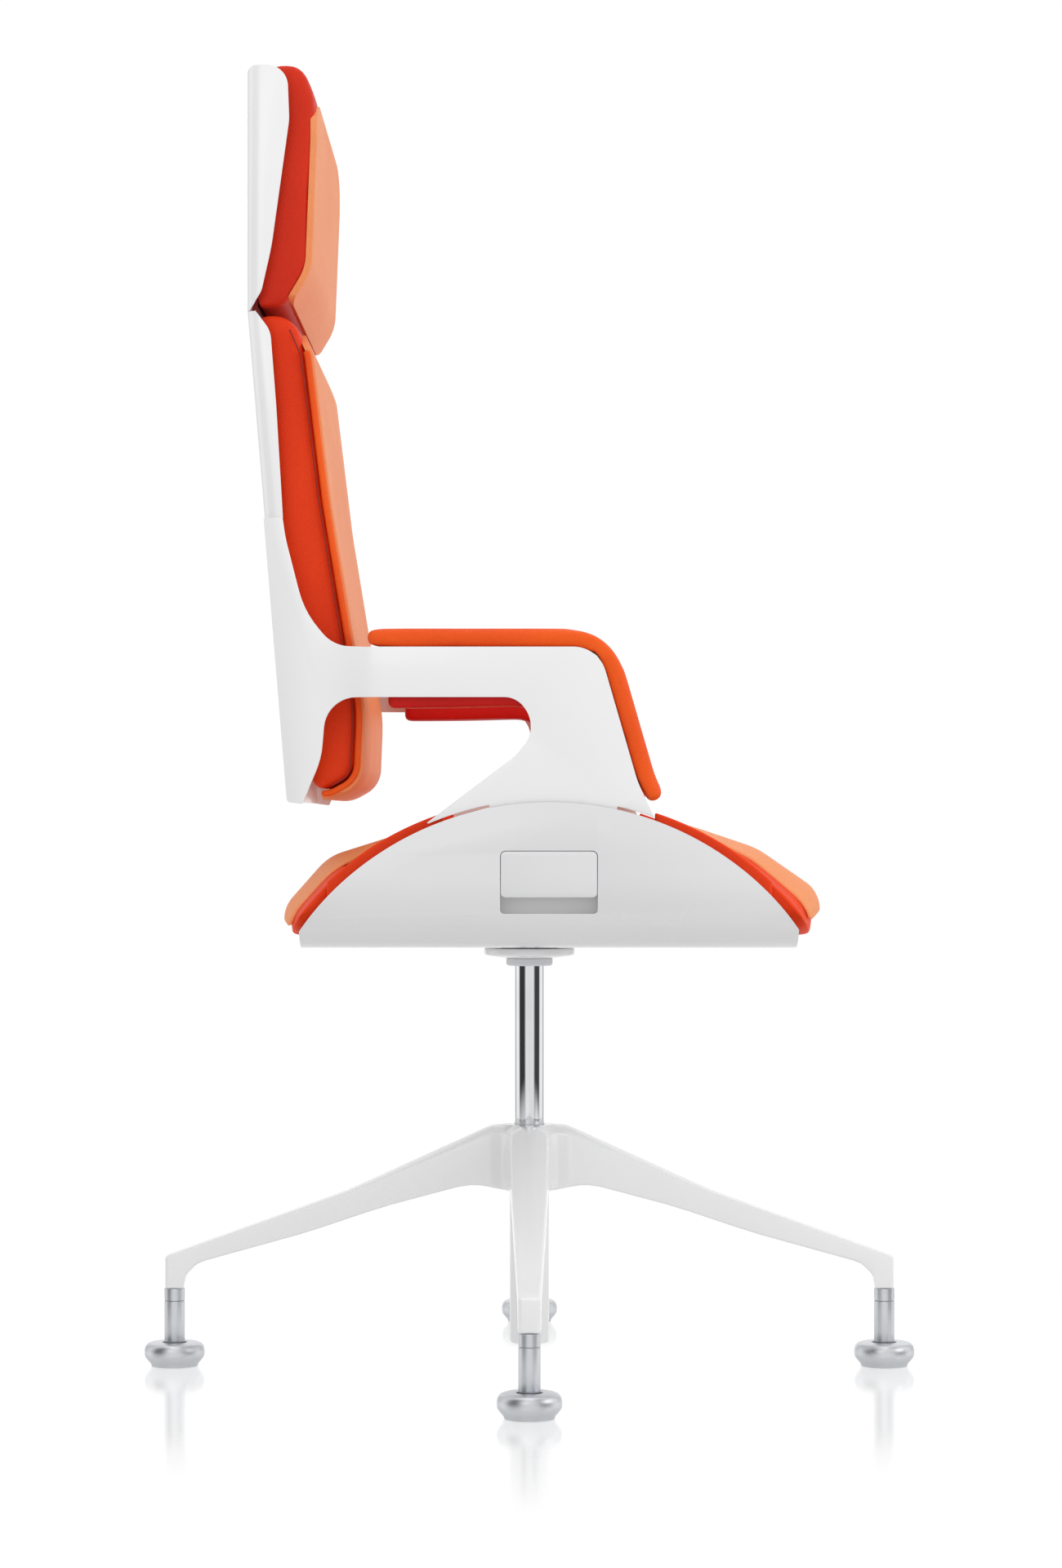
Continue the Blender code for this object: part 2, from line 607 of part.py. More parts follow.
def make_seat_shell():
    end_drop = 0.001
    outline = [Vector((SEAT_REAR, SEAT_BOTTOM_Z - end_drop)),
               Vector((SEAT_FRONT, SEAT_BOTTOM_Z - end_drop))]
    front = min(SEAT_FRONT, ARC_FORWARD + ARC_R - 0.001)
    rear = max(SEAT_REAR, ARC_FORWARD - ARC_R + 0.001)
    outline += arc_points(front, rear, steps=36)
    shell = combine(shell_wall(), side_plate(outline, -0.4, 0.4), "INTERSECT")
    neck_hole = rod_along("Z", (0, 0, SEAT_BOTTOM_Z), FLANGE_R * 0.62 + 0.009, 0.03, 36)
    shell = combine(shell, neck_hole, "DIFFERENCE")
    window = side_plate(rounded([
        (FLAP_REAR, FLAP_BOTTOM_Z - FLAP_RECESS, 0.004),
        (FLAP_FRONT, FLAP_BOTTOM_Z - FLAP_RECESS, 0.004),
        (FLAP_FRONT, FLAP_TOP_Z, 0.0055), (FLAP_REAR, FLAP_TOP_Z, 0.0055)]), -0.4, 0.4)
    shell = combine(shell, window, "DIFFERENCE")
    finish(shell, "seat_shell", WHITE_PAINT)


def make_flaps():
    outline = rounded([
        (FLAP_REAR + FLAP_GAP, FLAP_BOTTOM_Z, 0.0045),
        (FLAP_FRONT - FLAP_GAP, FLAP_BOTTOM_Z, 0.0045),
        (FLAP_FRONT - FLAP_GAP, FLAP_TOP_Z - FLAP_GAP, 0.005),
        (FLAP_REAR + FLAP_GAP, FLAP_TOP_Z - FLAP_GAP, 0.005)])
    pocket_outline = [(FLAP_REAR - 0.005, FLAP_BOTTOM_Z - FLAP_RECESS - 0.005),
                      (FLAP_FRONT + 0.005, FLAP_TOP_Z + 0.006)]
    for side, name in ((1, "left"), (-1, "right")):
        low, high = sorted((side * 0.2, side * 0.4))
        flap = combine(shell_wall(), side_plate(outline, low, high), "INTERSECT")
        finish(flap, f"flap_{name}", WHITE_PAINT)

        (rear, low_z), (front, high_z) = pocket_outline
        outer = sorted((side * (SEAT_HALF_WIDTH - POCKET_DEPTH - POCKET_WALL), side * 0.4))
        inner = sorted((side * (SEAT_HALF_WIDTH - POCKET_DEPTH), side * 0.4))
        cup = side_box(rear, front, low_z, high_z, *outer)
        cup = combine(cup, trough_solid(SEAT_WALL + GAP), "INTERSECT")
        room = side_box(rear + POCKET_WALL, front - POCKET_WALL, low_z + POCKET_WALL,
                        high_z - POCKET_WALL, *inner)
        cup = combine(cup, room, "DIFFERENCE")
        finish(cup, f"flap_pocket_{name}", GREY_PLASTIC)


def seat_plan(half_width, notch_half_width):
    """Plan of the seat's inner pieces, with a notch each side for the arm's hanger."""
    rear, front = FOOT_REAR - 0.042, FOOT_FRONT + 0.034
    wide, slim = half_width, notch_half_width
    far = 0.40
    right = [(far, -wide, 0), (front, -wide, 0.006), (front - 0.012, -slim, 0.006),
             (rear + 0.012, -slim, 0.006), (rear, -wide, 0.006), (-far, -wide, 0)]
    left = [(forward, -across, radius) for forward, across, radius in reversed(right)]
    return rounded([(forward, across, radius) for forward, across, radius in right + left])


def plan_plate(points, low_z, high_z):
    """A plan outline of (forward, across), extruded upwards."""
    made = plate(points, low_z, high_z)
    made.data.transform(Matrix(((0, 1, 0, 0), (-1, 0, 0, 0), (0, 0, 1, 0), (0, 0, 0, 1))))
    return made


def seat_top_path():
    """The cushion's upper face from the rear edge to the front edge."""
    return path([
        (SEAT_REAR - 0.0165, SEAT_BOTTOM_Z + 0.0095, 0),
        (SEAT_REAR - 0.0190, SEAT_BOTTOM_Z + 0.038, 0.03),
        (SEAT_REAR + 0.0250, PAN_Z + 0.010, 0.05),
        (SEAT_REAR + 0.1290, PAN_Z + 0.043, 0.15),
        (SEAT_FRONT - 0.1160, PAN_Z + 0.045, 0.15),
        (SEAT_FRONT - 0.0360, PAN_Z + 0.018, 0.07),
        (SEAT_FRONT + 0.0265, SEAT_BOTTOM_Z + 0.052, 0.03),
        (SEAT_FRONT + 0.0220, SEAT_BOTTOM_Z + 0.0085, 0),
    ], 6)


def make_seat_pads():
    top = seat_top_path()
    pan_top = PAN_Z + PAN_H + GAP
    underside = rounded([
        (*top[-1], 0), (SEAT_FRONT - 0.012, SEAT_BOTTOM_Z + 0.0085, 0),
        (SEAT_FRONT - 0.033, PAN_Z - 0.030, 0.02), (SEAT_FRONT - 0.045, pan_top, 0.01),
        (SEAT_REAR + 0.045, pan_top, 0.01), (SEAT_REAR + 0.030, PAN_Z - 0.030, 0.02),
        (SEAT_REAR + 0.010, SEAT_BOTTOM_Z + 0.0095, 0), (*top[0], 0)])
    outline = top + underside[1:-1]
    cushion = side_plate(outline, -0.3, 0.3)
    plan = plan_plate(seat_plan(SEAT_CUSHION_HALF_WIDTH, NOTCH_HALF_WIDTH), PAN_Z - 0.1,
                      PAN_Z + 0.1)
    cushion = combine(cushion, plan, "INTERSECT")
    cushion = combine(cushion, trough_solid(SEAT_WALL + 0.0015), "INTERSECT")
    inner = [point for point in top if point.y > SEAT_BOTTOM_Z + 0.026]
    cushion = inlay(cushion, inner, SEAT_PANEL_H, SEAT_PANEL_HALF_WIDTH, "seat_panel")
    finish(cushion, "seat_cushion", ORANGE_LEATHER)


def bolt_places():
    across = HOUSING_WIDTH / 2 + GAP + RUNNING_GAP + 0.010
    for number, (side, forward) in enumerate(
            [(1, 0.012), (1, 0.048), (-1, 0.012), (-1, 0.048)], 1):
        yield number, (side * across, -forward)


def make_seat_frame():
    length = (SEAT_REAR + 0.050, SEAT_FRONT - 0.050)
    pan = side_box(*length, PAN_Z, PAN_Z + PAN_H, -0.3, 0.3)
    plan = plan_plate(seat_plan(SEAT_CUSHION_HALF_WIDTH - 0.004, NOTCH_HALF_WIDTH),
                      PAN_Z - 0.1, PAN_Z + 0.1)
    pan = combine(pan, plan, "INTERSECT")
    pan = combine(pan, trough_solid(SEAT_WALL + 0.0015), "INTERSECT")
    head_z = PAN_Z + PAN_H - 0.0035
    for _, (x, y) in bolt_places():
        hole = turned([(0, PAN_Z + PAN_H + 0.01), (BOLT_HEAD_R + GAP, PAN_Z + PAN_H + 0.01),
                       (BOLT_HEAD_R + GAP, head_z - GAP), (BOLT_R + GAP, head_z - GAP),
                       (BOLT_R + GAP, PAN_Z - 0.01), (0, PAN_Z - 0.01)], (x, y), 16)
        pan = combine(pan, hole, "DIFFERENCE")
    finish(pan, "seat_pan", DARK_PLASTIC, smooth=False)

    inner = HOUSING_WIDTH / 2 + RUNNING_GAP
    for side, name in ((1, "left"), (-1, "right")):
        cheek = sorted((side * inner, side * (inner + BRACKET_H)))
        ledge = sorted((side * (inner + 0.001), side * (inner + 0.022)))
        rear, front = SEAT_AXLE_FORWARD - 0.029, SEAT_AXLE_FORWARD + 0.029
        top = PAN_Z - GAP
        web = side_plate(rounded([
            (rear + 0.002, top - 0.001, 0), (SEAT_AXLE_FORWARD - 0.014, AXLE_Z - 0.012, 0.008),
            (SEAT_AXLE_FORWARD + 0.014, AXLE_Z - 0.012, 0.008),
            (front - 0.002, top - 0.001, 0)]), *cheek)
        flange = side_box(rear, front, top - BRACKET_H, top, *ledge)
        bracket = combine(web, flange, "UNION")
        hole = rod_along("X", (side * inner, -SEAT_AXLE_FORWARD, AXLE_Z),
                         AXLE_R + RUNNING_GAP, 0.05)
        bracket = combine(bracket, hole, "DIFFERENCE")
        for _, (x, y) in bolt_places():
            if x * side > 0:
                hole = rod_along("Z", (x, y, top), BOLT_R + GAP, 0.04, 16)
                bracket = combine(bracket, hole, "DIFFERENCE")
        finish(bracket, f"seat_bracket_{name}", STEEL, smooth=False)

    for number, place in bolt_places():
        bolt = turned([(0, head_z + 0.003), (BOLT_HEAD_R, head_z + 0.003),
                       (BOLT_HEAD_R, head_z), (BOLT_R, head_z),
                       (BOLT_R, PAN_Z - BRACKET_H - 0.006), (0, PAN_Z - BRACKET_H - 0.006)],
                      place, 16)
        finish(bolt, f"bracket_bolt_{number}", STEEL)


# ---- Arms ---------------------------------------------------------------------------------
def pad_line():
    """The line the pad lies on: along the arm, round its front corner and down."""
    return path([
        (PAD_REAR, ARM_TOP_Z, 0),
        (0.0655, ARM_TOP_Z, 0.032),
        (0.1030, arc_height(0.1030) + 0.0300, 0.10),
        (0.1130, arc_height(0.1130) + 0.0130, 0),
    ])


def loop_line(clearance):
    """Lower edge of the arm, round the front of the loop and down to the foot."""
    low = ARM_LOWER_Z
    return path([
        (ARM_BEND + 0.01, low - clearance, 0),
        (-0.0130 + clearance, low - clearance, 0.040),
        (0.0012 + clearance, low - 0.0170 - 0.5 * clearance, 0.030),
        (0.0012 + clearance, low - 0.0380, 0.025),
        (-0.0130 + 0.6 * clearance, low - 0.0555, 0.03),
        (-0.0970, arc_height(-0.0970, ARM_SEAT_GAP) + 0.0015, 0),
    ])


def casting_outline():
    cheek_top = CHEEK_TOP_Z - GAP
    rear = [(back_line(cheek_top), cheek_top, 0), (back_line(BACK_BOTTOM_Z), BACK_BOTTOM_Z, 0.004),
            (back_line(BACK_BOTTOM_Z) + 0.015, BACK_BOTTOM_Z - 0.002, 0.002),
            (-0.1975, BACK_BOTTOM_Z + 0.041, 0.08), (-0.1925, ARM_LOWER_Z, 0.034),
            (ARM_BEND + 0.01, ARM_LOWER_Z, 0)]
    points = path(rear)[:-1]
    points += loop_line(0.0)
    points += arc_points(-0.0955, FOOT_REAR, ARM_SEAT_GAP, 4)
    points += [Vector((FOOT_REAR, HANGER_TOP_Z)), Vector((FOOT_FRONT, HANGER_TOP_Z))]
    points += arc_points(FOOT_FRONT, 0.118, ARM_SEAT_GAP, 3)
    points += offset(pad_line(), GAP)[::-1]
    points += path([(PAD_REAR, ARM_TOP_Z - GAP, 0), (-0.186, ARM_TOP_Z + 0.001, 0.05),
                    (-0.214, ARM_TOP_Z + 0.034, 0.12), (-0.232, cheek_top - 0.020, 0.12),
                    (-0.235, cheek_top, 0)])[1:]
    return points


def splay(obj, side):
    """Lean the part behind the bend inwards, towards the back's cheek."""
    slope = (ARM_HALF_WIDTH - CHEEK_HALF_WIDTH) / (ARM_BEND - back_line(CHEEK_TOP_Z))
    bm = bmesh.new()
    bm.from_mesh(obj.data)
    bmesh.ops.bisect_plane(bm, geom=bm.verts[:] + bm.edges[:] + bm.faces[:],
                           plane_co=(0, -ARM_BEND, 0), plane_no=(0, 1, 0))
    for vert in bm.verts:
        vert.co.x -= side * slope * max(0.0, vert.co.y + ARM_BEND)
    bm.to_mesh(obj.data)
    bm.free()
    return obj


def make_arms():
    outer = ARM_HALF_WIDTH
    inner = outer - ARM_WIDTH
    for side, name in ((1, "left"), (-1, "right")):
        plate_x = sorted((side * (outer - ARM_WALL), side * outer))
        casting = side_plate(casting_outline(), *plate_x)
        line = pad_line()
        shelf_line = offset(line, GAP)
        shelf = side_plate(shelf_line + offset(line, ARM_SHELF)[::-1],
                           *sorted((side * inner, side * (outer - 0.001))))
        casting = combine(casting, shelf, "UNION")
        inset = 0.0008
        step = side_box(FOOT_REAR + inset, FOOT_FRONT - inset, HANGER_TOP_Z - 0.012,
                        HANGER_TOP_Z + 0.004, *sorted((
                            side * (HANGER_HALF_WIDTH - HANGER_WALL + inset),
                            side * (outer - inset))))
        casting = combine(casting, step, "UNION")
        hanger = side_plate(rounded([
            (FOOT_REAR + 2 * inset, HANGER_TOP_Z - 0.002, 0),
            (BACK_AXLE_FORWARD - 0.019, AXLE_Z - 0.016, 0.014),
            (BACK_AXLE_FORWARD + 0.019, AXLE_Z - 0.016, 0.014),
            (FOOT_FRONT - 2 * inset, HANGER_TOP_Z - 0.002, 0)]),
            *sorted((side * (HANGER_HALF_WIDTH - HANGER_WALL), side * HANGER_HALF_WIDTH)))
        casting = combine(casting, hanger, "UNION")
        eye = rod_along("X", (side * HANGER_HALF_WIDTH, -BACK_AXLE_FORWARD, AXLE_Z),
                        AXLE_R + GAP, 0.06)
        casting = combine(casting, eye, "DIFFERENCE")
        finish(splay(casting, side), f"arm_{name}", WHITE_PAINT)

        pad = side_plate(offset(line, -PAD_H) + line[::-1],
                         *sorted((side * (inner - PAD_OVERHANG), side * (outer + PAD_OVERHANG))))
        finish(splay(pad, side), f"arm_pad_{name}", ORANGE_LEATHER)

        shelf_under = offset(line, ARM_SHELF + GAP)
        bottom = loop_line(0.009)
        lining = [Vector((PAD_REAR + 0.022, shelf_under[0].y)), *shelf_under[1:-1]]
        lining_low = ARM_TOP_Z - 0.120
        lining += [Vector((0.094, lining_low + 0.002)), Vector((-0.030, lining_low))]
        lining += [point for point in bottom[::-1] if point.y > lining_low + 0.008]
        lining = side_plate(lining, *sorted((side * inner, side * (outer - ARM_WALL - GAP))))
        finish(splay(lining, side), f"arm_lining_{name}", RED_LEATHER)

    half = HANGER_HALF_WIDTH
    axle = rod_along("X", (0, -BACK_AXLE_FORWARD, AXLE_Z), AXLE_R, 2 * half)
    finish(axle, "back_axle", STEEL)


# ---- Back ---------------------------------------------------------------------------------
def back_section(low_z, high_z, inset):
    """Solid block with the back shell's plan section, inset by a distance."""
    half = BACK_HALF_WIDTH - inset
    rear = BACK_REAR + inset
    corner = BACK_CORNER_R - inset
    return plan_plate(rounded([(0.0, half, 0), (rear, half, corner), (rear, -half, corner),
                               (0.0, -half, 0)]), low_z, high_z)


def back_tray(low_z, high_z):
    wall = back_section(low_z, high_z, 0.0)
    room = back_section(low_z - 0.01, high_z + 0.01, BACK_WALL)
    return combine(wall, room, "DIFFERENCE")


def lean(obj):
    """Lean a piece so that its rear face follows the back's slope below the break."""
    for vert in obj.data.vertices:
        vert.co.y -= BACK_SLOPE * (BACK_BREAK_Z - vert.co.z)
    return obj


def make_shells():
    head = back_tray(BACK_BREAK_Z + 0.0005, HEAD_TOP_Z)
    rear = BACK_REAR - 0.001
    outline = rounded([
        (rear, BACK_BREAK_Z, 0), (BACK_REAR + 0.003, BACK_BREAK_Z, 0),
        (-0.2555, BACK_BREAK_Z + 0.018, 0.02), (-0.2460, BACK_BREAK_Z + 0.060, 0.2),
        (-0.2300, HEAD_TOP_Z - 0.040, 0.05), (-0.2330, HEAD_TOP_Z, 0.018),
        (rear, HEAD_TOP_Z, 0.010)])
    head = combine(head, side_plate(outline, -0.4, 0.4), "INTERSECT")
    finish(head, "headrest_shell", WHITE_PAINT)

    shell = lean(back_tray(BACK_BOTTOM_Z, BACK_BREAK_Z - 0.0005))
    shift = BACK_SLOPE * (BACK_BREAK_Z - BACK_BOTTOM_Z)
    panel_front = BACK_WALL + 0.0005
    outline = rounded([
        (rear, BACK_BREAK_Z + 0.001, 0), (-0.2620, BACK_BREAK_Z + 0.001, 0),
        (-0.2470, BACK_BREAK_Z - 0.020, 0.025), (-0.2415, BACK_BREAK_Z - 0.090, 0.3),
        (-0.2350, CHEEK_TOP_Z, 0), (back_line(CHEEK_TOP_Z) + panel_front, CHEEK_TOP_Z, 0),
        (back_line(BACK_BOTTOM_Z) + panel_front, BACK_BOTTOM_Z - 0.001, 0),
        (rear + shift - 0.003, BACK_BOTTOM_Z - 0.001, 0), (rear - 0.002, CHEEK_TOP_Z, 0)])
    shell = combine(shell, side_plate(outline, -0.4, 0.4), "INTERSECT")
    inner = CHEEK_HALF_WIDTH - ARM_WALL - 2 * GAP
    for side in (1, -1):
        strip = side_box(-0.4, -0.1, BACK_BOTTOM_Z - 0.1, CHEEK_TOP_Z,
                         *sorted((side * inner, side * 0.4)))
        shell = combine(shell, strip, "DIFFERENCE")
    finish(shell, "back_shell", WHITE_PAINT)


def inner_line(low_z, high_z, distance):
    """A line in front of the shells' rear panels, from high_z down to low_z."""
    places = [high_z, BACK_BREAK_Z, low_z] if high_z > BACK_BREAK_Z > low_z else [high_z, low_z]
    return [Vector((back_line(z) + distance, z)) for z in places]


def make_back_frame():
    first = BACK_WALL + GAP
    low, high = BACK_BOTTOM_Z + 0.089, HEAD_TOP_Z - 0.030
    board = inner_line(low, high, first) + inner_line(low, high, first + BOARD_H)[::-1]
    half = BACK_HALF_WIDTH - 0.027
    finish(side_plate(board, -half, half), "back_board", DARK_PLASTIC, smooth=False)
    inner = CHEEK_HALF_WIDTH - ARM_WALL - GAP
    bar_z = BACK_BOTTOM_Z + 0.047
    bar = rod_along("X", (0, -back_line(bar_z) - 0.0159, bar_z), CROSSBAR_R, 2 * inner)
    finish(bar, "lumbar_crossbar", STEEL)


def back_front_line():
    """Front face of the back cushion, from its top down to its lowest point."""
    top, low = BACK_BREAK_Z, BACK_BOTTOM_Z
    depths = [
        (top, 0.0340, 0), (top - 0.010, 0.0492, 0.012), (top - 0.040, 0.0597, 0.03),
        (top - 0.183, 0.0653, 0.4), (low + 0.207, 0.0717, 0.4), (low + 0.089, 0.0814, 0.15),
        (low + 0.019, 0.0726, 0.03), (low + 0.002, 0.0411, 0.03), (low + 0.003, 0.0227, 0),
    ]
    return path([(back_line(z) + depth, z, radius) for z, depth, radius in depths])


def head_front_line():
    return path([
        (BACK_REAR + 0.0340, HEAD_TOP_Z - 0.001, 0), (BACK_REAR + 0.0520, HEAD_TOP_Z - 0.004, 0.01),
        (BACK_REAR + 0.0655, HEAD_TOP_Z - 0.026, 0.02), (BACK_REAR + 0.0655, HEAD_TOP_Z - 0.070, 0.2),
        (BACK_REAR + 0.0605, BACK_BREAK_Z + 0.040, 0.05), (BACK_REAR + 0.0390, BACK_BREAK_Z + 0.004, 0),
    ])


def longer(points, by):
    """A path with its ends drawn out."""
    first = points[0] + (points[0] - points[1]).normalized() * by
    last = points[-1] + (points[-1] - points[-2]).normalized() * by
    return [first] + points[1:-1] + [last]


def inlay(cushion, line, depth, half_width, name):
    """Let a light panel into a cushion's face, flush with it along a line."""
    room = offset(longer(line, GAP), depth + GAP) + offset(longer(line, GAP), -0.004)[::-1]
    cushion = combine(cushion, side_plate(room, -half_width - GAP, half_width + GAP),
                      "DIFFERENCE")
    panel = side_plate(offset(line, depth) + line[::-1], -half_width, half_width)
    finish(panel, name, LIGHT_LEATHER)
    return cushion


def make_back_pads():
    clear = BACK_WALL + BOARD_H + 3 * GAP
    low = back_front_line()
    step_z, top_z = BACK_BOTTOM_Z + 0.074, BACK_BREAK_Z - 0.010
    rear = [Vector((back_line(step_z) + 0.0288, step_z)),
            Vector((back_line(step_z) + clear, step_z)),
            Vector((back_line(top_z) + clear, top_z))]
    half = BACK_CUSHION_HALF_WIDTH
    below_top = [point for point in low[:-1] if point.y < BACK_BREAK_Z - 0.014]
    cushion = inlay(side_plate(low + rear, -half, half), below_top, BACK_PANEL_H,
                    BACK_PANEL_HALF_WIDTH, "back_panel")
    finish(cushion, "back_cushion", ORANGE_LEATHER)
    high = head_front_line()
    rear = [Vector((BACK_REAR + clear, BACK_BREAK_Z + 0.010)),
            Vector((BACK_REAR + clear, HEAD_TOP_Z - 0.001))]
    middle = [point for point in high[:-1] if point.y < HEAD_TOP_Z - 0.010]
    cushion = inlay(side_plate(high + rear, -half, half), middle, BACK_PANEL_H,
                    BACK_PANEL_HALF_WIDTH, "headrest_panel")
    finish(cushion, "headrest_cushion", RED_LEATHER)


# ---- Joint frames -------------------------------------------------------------------------
def parent_bodies():
    """Empties on the joint axes, each holding the pieces that move with it."""
    flap_x, flap_z = SEAT_HALF_WIDTH - 0.0005, FLAP_TOP_Z - 0.0023
    lever_forward, lever_z = SEAT_AXLE_FORWARD + 0.022, CYLINDER_TOP_Z + 0.0075
    places = {
        "base_body": (0, 0, 0),
        "rod_body": (0, 0, 0),
        "carrier_body": (0, 0, 0),
        "valve_body": (0, 0, CYLINDER_TOP_Z),
        "lever_body": (0, -lever_forward, lever_z),
        "back_body": (0, -BACK_AXLE_FORWARD, AXLE_Z),
        "seat_body": (0, -SEAT_AXLE_FORWARD, AXLE_Z),
        "flap_left_body": (flap_x, 0, flap_z),
        "flap_right_body": (-flap_x, 0, flap_z),
    }
    for number, place in glide_places():
        places[f"glide_{number}_body"] = (*place, 0)
    holders = {}
    for name, place in places.items():
        holder = bpy.data.objects.new(name, None)
        holder.location = place
        holder.empty_display_size = 0.03
        CHAIR.objects.link(holder)
        holders[name] = holder
    bpy.context.view_layer.update()
    for obj in list(CHAIR.objects):
        if obj.type == "EMPTY":
            continue
        holder = holders[body_of(obj.name)]
        obj.parent = holder
        obj.matrix_parent_inverse = holder.matrix_world.inverted()


def body_of(name):
    starts = {
        "base_cross": "base_body", "stand_tube": "base_body", "guide_bush": "base_body",
        "thrust_bearing": "base_body", "glide_collar": "base_body",
        "piston_rod": "rod_body", "rod_clip": "rod_body",
        "valve_button": "valve_body", "release_lever": "lever_body",
        "gas_cylinder": "carrier_body", "cylinder_": "carrier_body",
        "flange_plate": "carrier_body", "mechanism_housing": "carrier_body",
        "seat_axle": "carrier_body", "lever_pin": "carrier_body",
        "torsion_spring": "carrier_body", "flap_pocket": "seat_body",
        "flap_left": "flap_left_body", "flap_right": "flap_right_body",
        "seat_": "seat_body", "bracket_bolt": "seat_body",
        "arm_": "back_body", "back_": "back_body", "headrest_": "back_body",
        "lumbar_crossbar": "back_body",
    }
    if name.startswith(("glide_post", "glide_foot")):
        return f"glide_{name[-1]}_body"
    return next(body for start, body in starts.items() if name.startswith(start))


clear_scene()
CHAIR = new_collection("swivel_chair")
CUTTERS = new_collection("cutters")
make_base()
make_glides()
make_column()
make_mechanism()
make_seat_shell()
make_flaps()
make_seat_pads()
make_seat_frame()
make_arms()
make_shells()
make_back_frame()
make_back_pads()
parent_bodies()
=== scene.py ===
"""Looks of the swivel office chair: painted castings, leather pads, chrome column and glides.

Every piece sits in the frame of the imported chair: metres, +Z up, the chair facing -Y. Side
outlines are lists of corners (forward, height, corner radius), with forward along -Y.
"""

import math

import bmesh
import bpy
from mathutils import Matrix, Vector


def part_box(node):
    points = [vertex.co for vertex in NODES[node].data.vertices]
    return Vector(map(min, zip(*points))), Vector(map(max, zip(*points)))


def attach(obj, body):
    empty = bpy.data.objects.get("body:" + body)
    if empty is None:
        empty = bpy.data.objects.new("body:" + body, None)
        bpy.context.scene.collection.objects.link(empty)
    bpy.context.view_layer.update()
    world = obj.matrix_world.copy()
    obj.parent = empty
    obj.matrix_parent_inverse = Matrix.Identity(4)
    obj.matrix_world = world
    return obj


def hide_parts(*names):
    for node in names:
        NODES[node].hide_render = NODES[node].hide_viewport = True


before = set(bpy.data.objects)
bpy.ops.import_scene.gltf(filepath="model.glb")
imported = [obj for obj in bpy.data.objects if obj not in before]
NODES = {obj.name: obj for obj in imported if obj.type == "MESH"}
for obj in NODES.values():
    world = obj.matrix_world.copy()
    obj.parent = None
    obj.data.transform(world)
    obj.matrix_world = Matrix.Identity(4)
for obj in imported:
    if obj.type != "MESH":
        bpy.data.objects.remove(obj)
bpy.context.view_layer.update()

# ---- Places read from the frame -----------------------------------------------------------
SEAT_LOW, SEAT_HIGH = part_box("seat_shell")
BACK_LOW, BACK_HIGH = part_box("back_shell")
HEAD_LOW, HEAD_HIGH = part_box("headrest_shell")
ARM_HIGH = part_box("arm_left")[1]
PAD_LOW, PAD_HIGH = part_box("arm_pad_left")
TUBE_LOW, TUBE_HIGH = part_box("stand_tube")
FLANGE_LOW, FLANGE_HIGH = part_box("flange_plate")
COLLAR_LOW, COLLAR_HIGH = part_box("cylinder_collar")
FOOT_LOW, FOOT_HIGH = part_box("glide_foot_1")
BASE_LOW, BASE_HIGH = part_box("base_cross")

SEAT_Z = SEAT_LOW[2]            # underside of the seat shell
BACK_Z = BACK_LOW[2]            # lower edge of the back
BREAK_Z = HEAD_LOW[2]           # between back and headrest
TOP_Z = HEAD_HIGH[2]
REAR = -HEAD_HIGH[1]            # rear face of the headrest, as a forward distance
LEG_TIP_Z = BASE_LOW[2]
HUB_Z = BASE_HIGH[2]
GLIDE_R = (FOOT_LOW[0] + FOOT_HIGH[0]) / 2
SEAT_HALF = SEAT_HIGH[0]
BACK_HALF = BACK_HIGH[0]
ARM_HALF = ARM_HIGH[0]
ARM_INNER = PAD_LOW[0] + 0.001
PAD_H = 0.0175                  # thickness of an arm pad
PAD_REAR = -0.155
ARM_TOP = PAD_HIGH[2] - PAD_H
ARM_LOWER = ARM_TOP - 0.048     # lower edge of the arm's bar
ARM_BEND = -0.145               # where the arm leans in towards the cheek
ARM_WALL = 0.006
CHEEK_Z = ARM_HIGH[2]
CHEEK_HALF = BACK_HALF + 0.001
BACK_SLOPE = 0.0832             # forward lean of the back for each metre down
ARC_R, ARC_FORWARD, ARC_Z = 0.292, 0.0192, SEAT_Z - 0.1523  # side panel's arc
ARC_GAP = 0.0028                # between the arm's foot and the arc
FLAP_LOW, FLAP_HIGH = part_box("flap_left")
SHELL_WALL = 0.003
SEAM_R = 0.0008
SMALL = 0.0003                  # gap between pieces that lie against each other
BACK_PAD_HALF = BACK_HALF - 0.0085
SIDES = ((1, "left"), (-1, "right"))

bpy.ops.object.select_all(action="DESELECT")
SCENE = bpy.context.scene


# ---- Outlines -----------------------------------------------------------------------------
def rounded(corners, steps=10, closed=True):
    """Points of an outline whose corners (a, b, radius) are turned into arcs."""
    points = []
    count = len(corners)
    for index, (a, b, radius) in enumerate(corners):
        here = Vector((a, b))
        if radius <= 0 or (not closed and index in (0, count - 1)):
            points.append(here)
            continue
        back = Vector(corners[index - 1][:2]) - here
        ahead = Vector(corners[(index + 1) % count][:2]) - here
        angle = back.angle(ahead)
        if angle > math.radians(179):
            points.append(here)
            continue
        reach = min(radius / math.tan(angle / 2), 0.49 * back.length, 0.49 * ahead.length)
        radius = reach * math.tan(angle / 2)
        centre = here + (back.normalized() + ahead.normalized()).normalized() * (
            radius / math.sin(angle / 2))
        start = here + back.normalized() * reach - centre
        end = here + ahead.normalized() * reach - centre
        sweep = math.atan2(start.x * end.y - start.y * end.x, start.dot(end))
        turns = max(3, min(steps, math.ceil(abs(sweep) / math.radians(6))))
        for step in range(turns + 1):
            points.append(centre + Matrix.Rotation(sweep * step / turns, 2) @ start)
    return points


def path(corners, steps=10):
    return rounded(corners, steps, closed=False)


